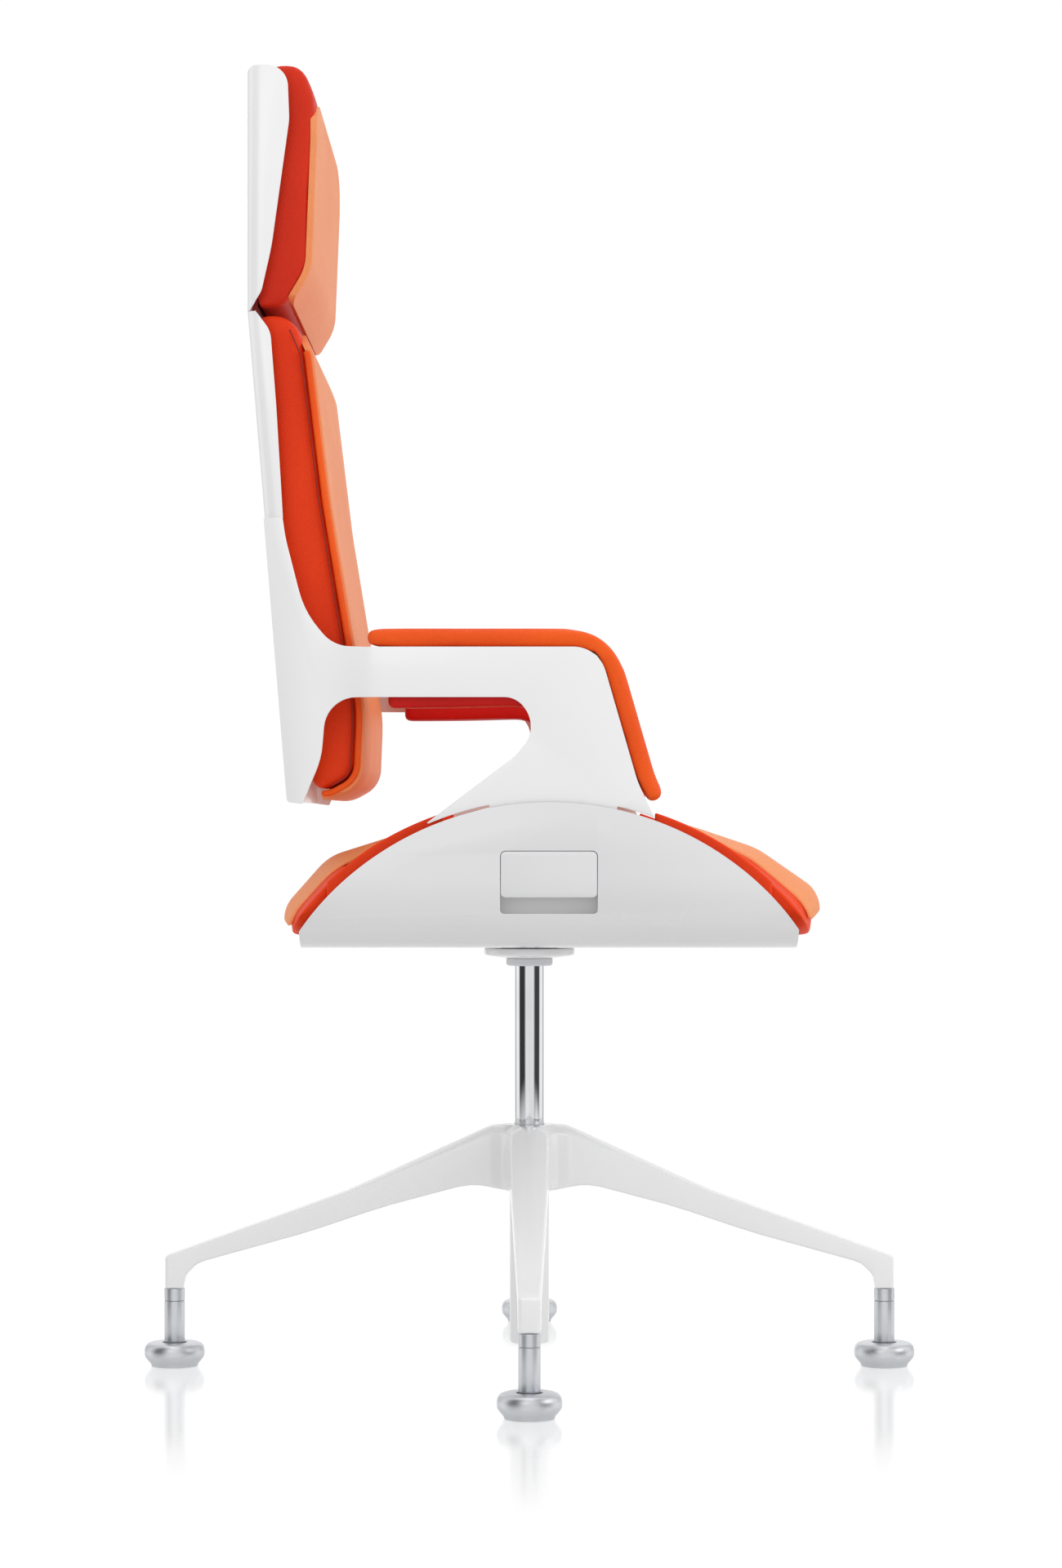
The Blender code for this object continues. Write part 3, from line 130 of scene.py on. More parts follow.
def offset(points, distance):
    """An open path moved to the right of its direction."""
    moved = []
    last = len(points) - 1
    for index, point in enumerate(points):
        before = (point - points[index - 1]).normalized() if index else None
        after = (points[index + 1] - point).normalized() if index < last else None
        before = before or after
        after = after or before
        along = (before + after).normalized()
        stretch = 1 / max(0.5, along.dot(after))
        moved.append(point + Vector((along.y, -along.x)) * distance * stretch)
    return moved


def back_line(z):
    """How far forward the back's rear face is at a height."""
    return REAR + BACK_SLOPE * max(0.0, BREAK_Z - z)


def arc_height(forward, clearance=0.0):
    return ARC_Z + math.sqrt((ARC_R + clearance) ** 2 - (forward - ARC_FORWARD) ** 2)


def arc_points(start, end, clearance=0.0, steps=40):
    radius = ARC_R + clearance
    first = math.acos((start - ARC_FORWARD) / radius)
    last = math.acos((end - ARC_FORWARD) / radius)
    angles = [first + (last - first) * step / steps for step in range(steps + 1)]
    return [Vector((ARC_FORWARD + radius * math.cos(t), ARC_Z + radius * math.sin(t)))
            for t in angles]


# ---- Modelling by hand, in code -----------------------------------------------------------
def only(obj):
    """Select this object alone and make it the active one."""
    bpy.ops.object.select_all(action="DESELECT")
    obj.select_set(True)
    bpy.context.view_layer.objects.active = obj


def edit(obj, *steps):
    """Run edit-mode steps on an object with all of it selected."""
    only(obj)
    bpy.ops.object.mode_set(mode="EDIT")
    bpy.ops.mesh.select_all(action="SELECT")
    for step in steps:
        step()
    bpy.ops.object.mode_set(mode="OBJECT")
    obj.select_set(False)
    return obj


def outward(obj):
    return edit(obj, lambda: bpy.ops.mesh.remove_doubles(threshold=1e-6),
                lambda: bpy.ops.mesh.normals_make_consistent(inside=False))


def apply(obj, kind, **values):
    """Add a modifier, give it its values and apply it."""
    modifier = obj.modifiers.new(kind.title(), kind)
    for key, value in values.items():
        setattr(modifier, key, value)
    if kind == "SUBSURF":
        modifier.render_levels = modifier.levels
    bpy.context.view_layer.objects.active = obj
    with bpy.context.temp_override(object=obj, active_object=obj, selected_objects=[obj]):
        bpy.ops.object.modifier_apply(modifier=modifier.name)
    return obj


def soften(obj, width, segments=3, angle=32):
    """Round the edges sharper than an angle."""
    return apply(obj, "BEVEL", width=width, segments=segments, limit_method="ANGLE",
                 angle_limit=math.radians(angle), harden_normals=False,
                 use_clamp_overlap=True, miter_outer="MITER_SHARP")


def smooth(obj, angle=40):
    only(obj)
    bpy.ops.object.shade_smooth_by_angle(angle=math.radians(angle))
    obj.select_set(False)
    return obj


def cut(obj, tool, operation="DIFFERENCE"):
    apply(obj, "BOOLEAN", object=tool, operation=operation, solver="EXACT")
    bpy.data.objects.remove(tool)
    return outward(obj)


def slab(name, points, low, high, plane="side"):
    """A flat outline extruded: across the chair (side), up (plan) or along it (front)."""
    bpy.ops.mesh.primitive_circle_add(vertices=len(points), fill_type="NGON")
    obj = bpy.context.object
    obj.name = name
    place = {
        "side": lambda a, b: (low, -a, b),
        "plan": lambda a, b: (b, -a, low),
        "front": lambda a, b: (a, low, b),
    }[plane]
    for vert, (a, b) in zip(obj.data.vertices, points):
        vert.co = place(a, b)
    shift = {"side": (high - low, 0, 0), "plan": (0, 0, high - low),
             "front": (0, high - low, 0)}[plane]
    edit(obj, lambda: bpy.ops.mesh.extrude_region_move(
        TRANSFORM_OT_translate={"value": shift}))
    return outward(obj)


def both(side, a, b):
    return sorted((side * a, side * b))


def block(name, low, high):
    """A box between two corners."""
    middle = [(a + b) / 2 for a, b in zip(low, high)]
    size = [b - a for a, b in zip(low, high)]
    bpy.ops.mesh.primitive_cube_add(size=1, location=middle)
    obj = bpy.context.object
    obj.name = name
    edit(obj, lambda: bpy.ops.transform.resize(value=size, center_override=middle))
    settle(obj)
    return obj


def settle(obj):
    """Put the object's place into its mesh."""
    bpy.context.view_layer.update()
    obj.data.transform(obj.matrix_world)
    obj.matrix_world = Matrix.Identity(4)


def lathe(name, profile, centre=(0, 0), steps=72, axis="Z", place=0.0):
    """A profile of (radius, height) spun about an axis through a centre."""
    bpy.ops.mesh.primitive_circle_add(vertices=len(profile), fill_type="NOTHING")
    obj = bpy.context.object
    obj.name = name
    bm = bmesh.new()
    bm.from_mesh(obj.data)
    bm.verts.ensure_lookup_table()
    for vert, (radius, z) in zip(bm.verts, profile):
        vert.co = (radius, 0, z)
    if profile[0][0] == 0 and profile[-1][0] == 0:
        first, last = bm.verts[0], bm.verts[len(profile) - 1]
        bm.edges.remove(bm.edges.get((first, last)))
    bm.to_mesh(obj.data)
    bm.free()
    edit(obj, lambda: bpy.ops.mesh.spin(steps=steps, angle=2 * math.pi, center=(0, 0, 0),
                                        axis=(0, 0, 1)))
    outward(obj)
    if axis == "X":
        obj.data.transform(Matrix.Rotation(math.pi / 2, 4, "Y"))
        obj.data.transform(Matrix.Translation((place, centre[0], centre[1])))
    else:
        obj.data.transform(Matrix.Translation((*centre, 0)))
    return obj


def bisect(obj, point, normal):
    return edit(obj, lambda: bpy.ops.mesh.bisect(plane_co=point, plane_no=normal))


def thread(name, points, radius, closed=False):
    """A thin round cord through points, as a mesh."""
    curve = bpy.data.curves.new(name, "CURVE")
    curve.dimensions = "3D"
    curve.bevel_depth = radius
    curve.bevel_resolution = 2
    curve.use_fill_caps = True
    spline = curve.splines.new("POLY")
    spline.points.add(len(points) - 1)
    for target, point in zip(spline.points, points):
        target.co = (*point, 1)
    spline.use_cyclic_u = closed
    obj = bpy.data.objects.new(name, curve)
    SCENE.collection.objects.link(obj)
    only(obj)
    bpy.ops.object.convert(target="MESH")
    obj = bpy.context.object
    obj.name = name
    return smooth(outward(obj), 60)


def coat(obj, material):
    obj.data.materials.clear()
    obj.data.materials.append(material)


def dress(obj, material, body, slot, *replaced):
    """Finish a piece: its look, the body it rides on and the nodes that it stands for."""
    coat(obj, material)
    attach(obj, body)
    if replaced:
        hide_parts(*replaced)
    return obj


# ---- Node groups and materials ------------------------------------------------------------
def group(name, inputs, outputs):
    tree = bpy.data.node_groups.new(name, "ShaderNodeTree")
    for title, kind, value in inputs:
        socket = tree.interface.new_socket(title, in_out="INPUT", socket_type=kind)
        if value is not None:
            socket.default_value = value
    for title, kind in outputs:
        tree.interface.new_socket(title, in_out="OUTPUT", socket_type=kind)
    return tree, tree.nodes.new("NodeGroupInput"), tree.nodes.new("NodeGroupOutput")


def node(tree, kind, links=(), **values):
    """A node with its inputs given by name or number: a value, or another node's output."""
    made = tree.nodes.new(kind)
    for key, value in values.items():
        setattr(made, key, value)
    for key, value in dict(links).items():
        socket = made.inputs[key]
        if isinstance(value, bpy.types.NodeSocket):
            tree.links.new(value, socket)
        else:
            socket.default_value = value
    return made


def math_node(tree, operation, a, b=0.0):
    return node(tree, "ShaderNodeMath", {0: a, 1: b}, operation=operation).outputs[0]


def on_object(tree):
    return node(tree, "ShaderNodeTexCoord").outputs["Object"]


def noise(tree, where, scale, detail, **inputs):
    return node(tree, "ShaderNodeTexNoise", {"Vector": where, "Scale": scale,
                                             "Detail": detail, **inputs})


def feed(tree, shader, **sources):
    """Link outputs to a shader's inputs, named with underscores for spaces."""
    for key, value in sources.items():
        tree.links.new(value, shader.inputs[key.replace("_", " ")])


FLOAT = "NodeSocketFloat"


def grain_group():
    """Leather: pebbles, pores and soft creases, as a height and a mask of the valleys."""
    tree, given, out = group("leather_grain", [
        ("Pebble Scale", FLOAT, 900.0), ("Crease Scale", FLOAT, 16.0),
        ("Crease Depth", FLOAT, 1.0)], [("Height", FLOAT), ("Valley", FLOAT)])
    where = on_object(tree)
    drift = noise(tree, where, 60.0, 2.0)
    moved = node(tree, "ShaderNodeVectorMath", {0: drift.outputs["Color"], "Scale": 0.0012},
                 operation="SCALE")
    mixed = node(tree, "ShaderNodeVectorMath", {0: where, 1: moved.outputs[0]},
                 operation="ADD")
    pebbles = node(tree, "ShaderNodeTexVoronoi", {
        "Vector": mixed.outputs[0], "Scale": given.outputs["Pebble Scale"]},
        feature="DISTANCE_TO_EDGE")
    dome = node(tree, "ShaderNodeMapRange", {"Value": pebbles.outputs["Distance"],
                                             "From Max": 0.22})
    pores = noise(tree, where, 2600.0, 1.0)
    creases = noise(tree, where, given.outputs["Crease Scale"], 3.0, Roughness=0.45)
    fine = math_node(tree, "MULTIPLY", pores.outputs["Fac"], 0.25)
    low = math_node(tree, "MULTIPLY", creases.outputs["Fac"], given.outputs["Crease Depth"])
    total = math_node(tree, "ADD", dome.outputs[0], fine)
    total = math_node(tree, "ADD", total, low)
    valley = math_node(tree, "SUBTRACT", 1.0, dome.outputs[0])
    feed(tree, out, Height=total, Valley=valley)
    return tree


def mottle_group():
    """Slow colour variation of two scales, from 0 to 1."""
    tree, given, out = group("mottle", [("Scale", FLOAT, 8.0)], [("Value", FLOAT)])
    where = on_object(tree)
    broad = noise(tree, where, given.outputs["Scale"], 4.0)
    ramp = node(tree, "ShaderNodeMapRange", {"Value": broad.outputs["Fac"],
                                             "From Min": 0.3, "From Max": 0.7})
    feed(tree, out, Value=ramp.outputs[0])
    return tree


def skin_group():
    """Orange peel of a sprayed or moulded surface, as a height."""
    tree, given, out = group("surface_skin", [
        ("Scale", FLOAT, 220.0), ("Fine Scale", FLOAT, 1500.0), ("Fine", FLOAT, 0.1)],
        [("Height", FLOAT)])
    where = on_object(tree)
    peel = noise(tree, where, given.outputs["Scale"], 1.0)
    speck = noise(tree, where, given.outputs["Fine Scale"], 2.0)
    fine = math_node(tree, "MULTIPLY", speck.outputs["Fac"], given.outputs["Fine"])
    feed(tree, out, Height=math_node(tree, "ADD", peel.outputs["Fac"], fine))
    return tree


def edge_highlight_group():
    """Mask of raised edges, from 0 to 1, where a painted edge highlight goes."""
    tree, given, out = group("edge_highlight_mask", [("Start", FLOAT, 0.53), ("End", FLOAT, 0.62)],
                             [("Mask", FLOAT)])
    where = on_object(tree)
    sharp = node(tree, "ShaderNodeNewGeometry").outputs["Pointiness"]
    patchy = noise(tree, where, 45.0, 3.0)
    ramp = node(tree, "ShaderNodeMapRange", {
        "Value": sharp, "From Min": given.outputs["Start"], "From Max": given.outputs["End"]})
    feed(tree, out, Mask=math_node(tree, "MULTIPLY", ramp.outputs[0], patchy.outputs["Fac"]))
    return tree


GRAIN, MOTTLE, SKIN, EDGE_HIGHLIGHT = grain_group(), mottle_group(), skin_group(), edge_highlight_group()


def place_group(tree, which, **values):
    made = tree.nodes.new("ShaderNodeGroup")
    made.node_tree = which
    for key, value in values.items():
        made.inputs[key.replace("_", " ")].default_value = value
    return made


def new_material(name, **sockets):
    material = bpy.data.materials.new(name)
    material.use_nodes = True
    shader = material.node_tree.nodes["Principled BSDF"]
    for key, value in sockets.items():
        shader.inputs[key.replace("_", " ")].default_value = value
    return material, material.node_tree, shader


def blend_colors(tree, factor, a, b):
    mix = node(tree, "ShaderNodeMix", {"Factor": factor}, data_type="RGBA")
    for key, value in ((6, a), (7, b)):
        if isinstance(value, bpy.types.NodeSocket):
            tree.links.new(value, mix.inputs[key])
        else:
            mix.inputs[key].default_value = (*value, 1)
    return mix.outputs[2]


def lit_edges(tree, body, light, amount, **where):
    """A colour made lighter on raised edges: a painted edge highlight."""
    mask = place_group(tree, EDGE_HIGHLIGHT, **where).outputs[0]
    return blend_colors(tree, math_node(tree, "MULTIPLY", mask, amount), body, light)


def span(tree, value, low, high):
    return node(tree, "ShaderNodeMapRange", {"Value": value, "To Min": low,
                                             "To Max": high}).outputs[0]


def bump(tree, height, distance, strength=1.0):
    return node(tree, "ShaderNodeBump", {"Height": height, "Distance": distance,
                                         "Strength": strength}).outputs[0]


def leather(name, base, deep, light, roughness=0.46, sheen=0.04, crease=0.8):
    """Dyed, finished leather with a fine pebble, darker in the valleys, with a painted
    highlight on its edges.
    """
    material, tree, shader = new_material(
        name, Sheen_Weight=sheen, Sheen_Roughness=0.45, Sheen_Tint=(1.0, 0.45, 0.25, 1),
        Specular_IOR_Level=0.20)
    grain = place_group(tree, GRAIN, Pebble_Scale=820.0, Crease_Scale=14.0,
                        Crease_Depth=crease)
    mottle = place_group(tree, MOTTLE, Scale=7.0)
    body = blend_colors(tree, span(tree, mottle.outputs[0], 0.0, 1.0), deep, base)
    dark = math_node(tree, "MULTIPLY", grain.outputs["Valley"], 0.35)
    body = blend_colors(tree, dark, body, [0.6 * value for value in deep])
    # Raised edges made lighter: a painted edge highlight.
    body = lit_edges(tree, body, light, 0.5)
    feed(tree, shader, Base_Color=body,
         Roughness=span(tree, grain.outputs["Valley"], roughness - 0.04, roughness + 0.14),
         Normal=bump(tree, grain.outputs["Height"], 0.00018, 0.55))
    return material


def paint(name, base, roughness=0.16, coat=0.5):
    """Gloss paint on a casting: faint orange peel, a trace of tone, a painted highlight on its
    edges.
    """
    material, tree, shader = new_material(name, Coat_Weight=coat, Coat_Roughness=0.05,
                                          Specular_IOR_Level=0.5)
    skin = place_group(tree, SKIN, Scale=160.0, Fine_Scale=900.0, Fine=0.08)
    mottle = place_group(tree, MOTTLE, Scale=5.0)
    body = blend_colors(tree, mottle.outputs[0], base, [0.975 * value for value in base])
    # Raised edges made lighter: a painted edge highlight.
    body = lit_edges(tree, body, [min(1.0, 1.04 * value) for value in base], 0.35,
                  Start=0.55, End=0.70)
    feed(tree, shader, Base_Color=body, Normal=bump(tree, skin.outputs[0], 0.00004, 0.25),
         Roughness=span(tree, mottle.outputs[0], roughness, roughness + 0.05))
    return material


def metal(name, base, roughness, brushed=0.0, scale=(1, 1, 1)):
    """Metal with machining marks drawn out along one direction."""
    material, tree, shader = new_material(name, Metallic=1.0)
    where = on_object(tree)
    turned = node(tree, "ShaderNodeMapping", {"Vector": where, "Scale": scale}).outputs[0]
    marks = noise(tree, turned, 700.0, 3.0)
    mottle = place_group(tree, MOTTLE, Scale=30.0)
    tone = blend_colors(tree, mottle.outputs[0], base, [0.93 * value for value in base])
    feed(tree, shader, Base_Color=tone,
         Roughness=span(tree, marks.outputs["Fac"], roughness * 0.8, roughness * 1.25),
         Normal=bump(tree, marks.outputs["Fac"], 0.00003, brushed))
    return material


def plastic(name, base, roughness=0.45):
    """Moulded plastic with a spark-eroded texture."""
    material, tree, shader = new_material(name, Specular_IOR_Level=0.45)
    skin = place_group(tree, SKIN, Scale=900.0, Fine_Scale=2500.0, Fine=0.4)
    mottle = place_group(tree, MOTTLE, Scale=25.0)
    body = blend_colors(tree, mottle.outputs[0], base, [0.92 * value for value in base])
    # Raised edges made lighter: a painted edge highlight.
    body = lit_edges(tree, body, [min(1.0, 1.25 * value + 0.02) for value in base], 0.3)
    feed(tree, shader, Base_Color=body, Normal=bump(tree, skin.outputs[0], 0.00006, 0.4),
         Roughness=span(tree, mottle.outputs[0], roughness - 0.05, roughness + 0.06))
    return material


WHITE_PAINT = paint("white_paint", (0.88, 0.88, 0.885))
# The seat shell and flaps get a greyer copy of the white paint: painted shade where the shell
# turns under.
SEAT_SHADED_PAINT = paint("seat_shell_paint", (0.76, 0.76, 0.77), roughness=0.24, coat=0.25)
SIDE_LEATHER = leather("orange_red_leather", (0.95, 0.058, 0.003), (0.84, 0.040, 0.002),
                       (0.92, 0.12, 0.02))
# Headrest cushion: the same leather in a darker red copy, painted shade.
HEAD_SHADED_LEATHER = leather("headrest_shaded_leather", (0.76, 0.032, 0.005), (0.64, 0.021, 0.003),
                       (0.86, 0.07, 0.01))
# Arm pads and the back's border: the same leather in a brighter copy, painted light.
PAD_LIT_LEATHER = leather("armrest_lit_leather", (1.0, 0.125, 0.006), (0.88, 0.085, 0.006),
                      (1.0, 0.22, 0.05), roughness=0.42, crease=0.3)
# Front panels: the same leather in a paler copy, a painted sheen of the grazing view.
PANEL_SHEEN_LEATHER = leather("panel_sheen_leather", (0.97, 0.36, 0.15), (0.93, 0.29, 0.10),
                        (1.0, 0.48, 0.25), roughness=0.44, sheen=0.1)
# Arm linings: the same leather in a deep red copy, painted shade inside the arm loop.
LINING_SHADED_LEATHER = leather("lining_shaded_leather", (0.66, 0.008, 0.006), (0.56, 0.006, 0.004),
                         (0.72, 0.02, 0.01))
STITCH = plastic("seam_thread", (0.30, 0.012, 0.004), 0.6)
CHROME = metal("polished_chrome", (0.86, 0.87, 0.89), 0.045, 0.05, (1, 1, 0.02))
SATIN = metal("satin_steel", (0.74, 0.76, 0.79), 0.38, 0.25, (0.1, 0.1, 3))
STEEL = metal("plain_steel", (0.52, 0.53, 0.55), 0.34, 0.4, (1, 0.1, 1))
CASTING = metal("raw_casting", (0.48, 0.49, 0.51), 0.5, 0.8)
GREY_PLASTIC = plastic("light_grey_plastic", (0.72, 0.73, 0.75))
DARK_PLASTIC = plastic("black_plastic", (0.025, 0.025, 0.027), 0.5)


# ---- Soft pieces --------------------------------------------------------------------------
def inflate(obj, voxel, pressure, cap, frames=20):
    """Let a pad swell as stuffed cloth, no point moving further than the cap."""
    apply(obj, "REMESH", mode="VOXEL", voxel_size=voxel, use_smooth_shade=True)
    before = [vert.co.copy() for vert in obj.data.vertices]
    cloth = obj.modifiers.new("Cloth", "CLOTH")
    for key, value in {"quality": 5, "mass": 0.3, "tension_stiffness": 18,
                       "compression_stiffness": 12, "shear_stiffness": 8,
                       "bending_stiffness": 1.5, "use_pressure": True,
                       "uniform_pressure_force": pressure}.items():
        setattr(cloth.settings, key, value)
    cloth.settings.effector_weights.gravity = 0
    cloth.collision_settings.use_collision = False
    cloth.point_cache.frame_start = 1
    cloth.point_cache.frame_end = frames
    for step in range(1, frames + 1):
        SCENE.frame_set(step)
    graph = bpy.context.evaluated_depsgraph_get()
    after = [vert.co.copy() for vert in obj.evaluated_get(graph).data.vertices]
    obj.modifiers.remove(cloth)
    SCENE.frame_set(1)
    for vert, old, new in zip(obj.data.vertices, before, after):
        move = new - old
        if move.length > cap:
            move = move.normalized() * cap
        vert.co = old + move
    apply(obj, "SMOOTH", factor=0.5, iterations=4)
    apply(obj, "SUBSURF", levels=1)
    return obj


def to_path(points):
    """Distance from a (forward, height) place to an open path."""
    pairs = list(zip(points, points[1:]))

    def distance(forward, z):
        here = Vector((forward, z))
        best = 1.0
        for a, b in pairs:
            run = b - a
            share = max(0.0, min(1.0, (here - a).dot(run) / max(run.length_squared, 1e-12)))
            best = min(best, (here - a - run * share).length)
        return best
    return distance


def back_front_line():
    top, low = BREAK_Z, BACK_Z
    depths = [
        (top, 0.0340, 0), (top - 0.010, 0.0492, 0.012), (top - 0.040, 0.0597, 0.03),
        (top - 0.183, 0.0653, 0.4), (low + 0.207, 0.0717, 0.4), (low + 0.089, 0.0814, 0.15),
        (low + 0.019, 0.0726, 0.03), (low + 0.002, 0.0411, 0.03), (low + 0.003, 0.0227, 0),
    ]
    return path([(back_line(z) + depth, z, radius) for z, depth, radius in depths])


def head_front_line():
    return path([
        (REAR + 0.0340, TOP_Z - 0.001, 0), (REAR + 0.0520, TOP_Z - 0.004, 0.01),
        (REAR + 0.0655, TOP_Z - 0.026, 0.02), (REAR + 0.0655, TOP_Z - 0.070, 0.2),
        (REAR + 0.0605, BREAK_Z + 0.040, 0.05), (REAR + 0.0390, BREAK_Z + 0.004, 0),
    ])


def seat_top_path():
    pan = SEAT_Z + 0.077
    front, rear = -SEAT_LOW[1], -SEAT_HIGH[1]
    return path([
        (rear - 0.0165, SEAT_Z + 0.0095, 0), (rear - 0.0190, SEAT_Z + 0.038, 0.03),
        (rear + 0.0250, pan + 0.010, 0.05), (rear + 0.1290, pan + 0.043, 0.15),
        (front - 0.1160, pan + 0.045, 0.15), (front - 0.0360, pan + 0.018, 0.07),
        (front + 0.0265, SEAT_Z + 0.052, 0.03), (front + 0.0220, SEAT_Z + 0.0085, 0),
    ], 8)


def band(name, line, inner, outer, half, material, body, slot, crown, *stands_for,
         corner=None):
    """A thin pad laid along a line between two offsets from it, fuller in its middle."""
    pad = slab(name, offset(line, inner) + offset(line, outer)[::-1], -half, half)
    if corner:
        low = min(vert.co.z for vert in pad.data.vertices) - 0.001
        top = max(vert.co.z for vert in pad.data.vertices) + 0.001
        wide, tall = corner
        side = (half + 0.001) * tall / wide
        shape = rounded([(-side, low, 0.010), (side, low, 0.010), (side, top, tall),
                         (-side, top, tall)], 20)
        cut(pad, slab("front_shape", [Vector((at.x * wide / tall, at.y)) for at in shape],
                      -0.4, 0.6, "front"), "INTERSECT")
    soften(pad, 0.42 * abs(inner - outer), 4, 50)
    stations = math.ceil(2 * half / 0.014)
    for step in range(1, stations):
        bisect(pad, (-half + 2 * half * step / stations, 0, 0), (1, 0, 0))
    ends = to_path([line[0], line[1]]), to_path([line[-2], line[-1]])
    normals = [vert.normal.copy() for vert in pad.data.vertices]
    for vert, normal in zip(pad.data.vertices, normals):
        across = 1 - min(1.0, abs(vert.co.x) / half) ** 4
        along = min(1.0, min(end(-vert.co.y, vert.co.z) for end in ends) / 0.04)
        vert.co += normal * crown * across * along
    dress(smooth(pad, 60), material, body, slot, *stands_for)
    return pad


def sunk(line, depth, top, reach=0.03):
    """A line moved inwards, by less and less towards its top end."""
    moved = []
    for here, there in zip(line, offset(line, depth)):
        share = min(1.0, max(0.15, (top - here.y) / reach))
        moved.append(here.lerp(there, share))
    return moved


def cords(title, line, half, body, slot):
    """A stitched seam on both sides of a cushion."""
    for side, name in SIDES:
        cord = thread(f"{title}_seam_{name}", [(side * half, -a, b) for a, b in line], SEAM_R)
        dress(cord, STITCH, body, slot)


def back_pads():
    low, high = back_front_line(), head_front_line()
    half = BACK_PAD_HALF
    clear = 0.0100
    step_z, top_z = BACK_Z + 0.074, BREAK_Z - 0.0005
    rear = [Vector((back_line(step_z) + 0.0288, step_z)),
            Vector((back_line(step_z) + clear, step_z)),
            Vector((back_line(top_z) + clear, top_z))]
    cushion = slab("back_cushion_leather", sunk(low, 0.0075, BREAK_Z) + rear, -half + 0.003,
                   half - 0.003)
    soften(cushion, 0.006, 4, 50)
    inflate(cushion, 0.006, 5.0, 0.0028)
    dress(smooth(cushion, 70), SIDE_LEATHER, "back", "orange_leather", "back_cushion")
    band("back_border_leather", [point for point in low[:-1] if point.y < BREAK_Z - 0.018],
         0.0085, 0.0026, half - 0.0006, PAD_LIT_LEATHER, "back", "orange_leather", 0.0002)
    band("back_front_panel", [point for point in low[:-1] if point.y < BREAK_Z - 0.010],
         0.0060, 0.0, half - 0.0050, PANEL_SHEEN_LEATHER, "back", "light_leather", 0.0012,
         "back_panel", corner=(0.17, 0.030))
    cords("back", offset(low, 0.0115)[6:-6], half - 0.0008, "back", "orange_leather")

    rear = [Vector((REAR + clear, BREAK_Z + 0.001)), Vector((REAR + clear, TOP_Z - 0.006))]
    crest = path([
        (REAR + 0.0200, TOP_Z + 0.0005, 0), (REAR + 0.0300, TOP_Z + 0.0050, 0.02),
        (REAR + 0.0530, TOP_Z + 0.0035, 0.02), (REAR + 0.0632, TOP_Z - 0.0270, 0.03),
        (REAR + 0.0629, TOP_Z - 0.0750, 0.2), (REAR + 0.0579, BREAK_Z + 0.0400, 0.05),
        (REAR + 0.0368, BREAK_Z + 0.0055, 0)])
    head = slab("headrest_cushion_leather", crest + rear, -half + 0.002, half - 0.002)
    soften(head, 0.005, 4, 50)
    inflate(head, 0.0055, 5.0, 0.0022)
    dress(smooth(head, 70), HEAD_SHADED_LEATHER, "back", "red_leather", "headrest_cushion")
    under = high[-2].lerp(high[-1], 0.8)
    face = [point for point in high[:-1] if point.y < TOP_Z - 0.020] + [under]
    band("headrest_front_panel", face,
         0.0050, -0.0010, half - 0.0050, PANEL_SHEEN_LEATHER, "back", "light_leather", 0.0010,
         "headrest_panel", corner=(0.17, 0.034))


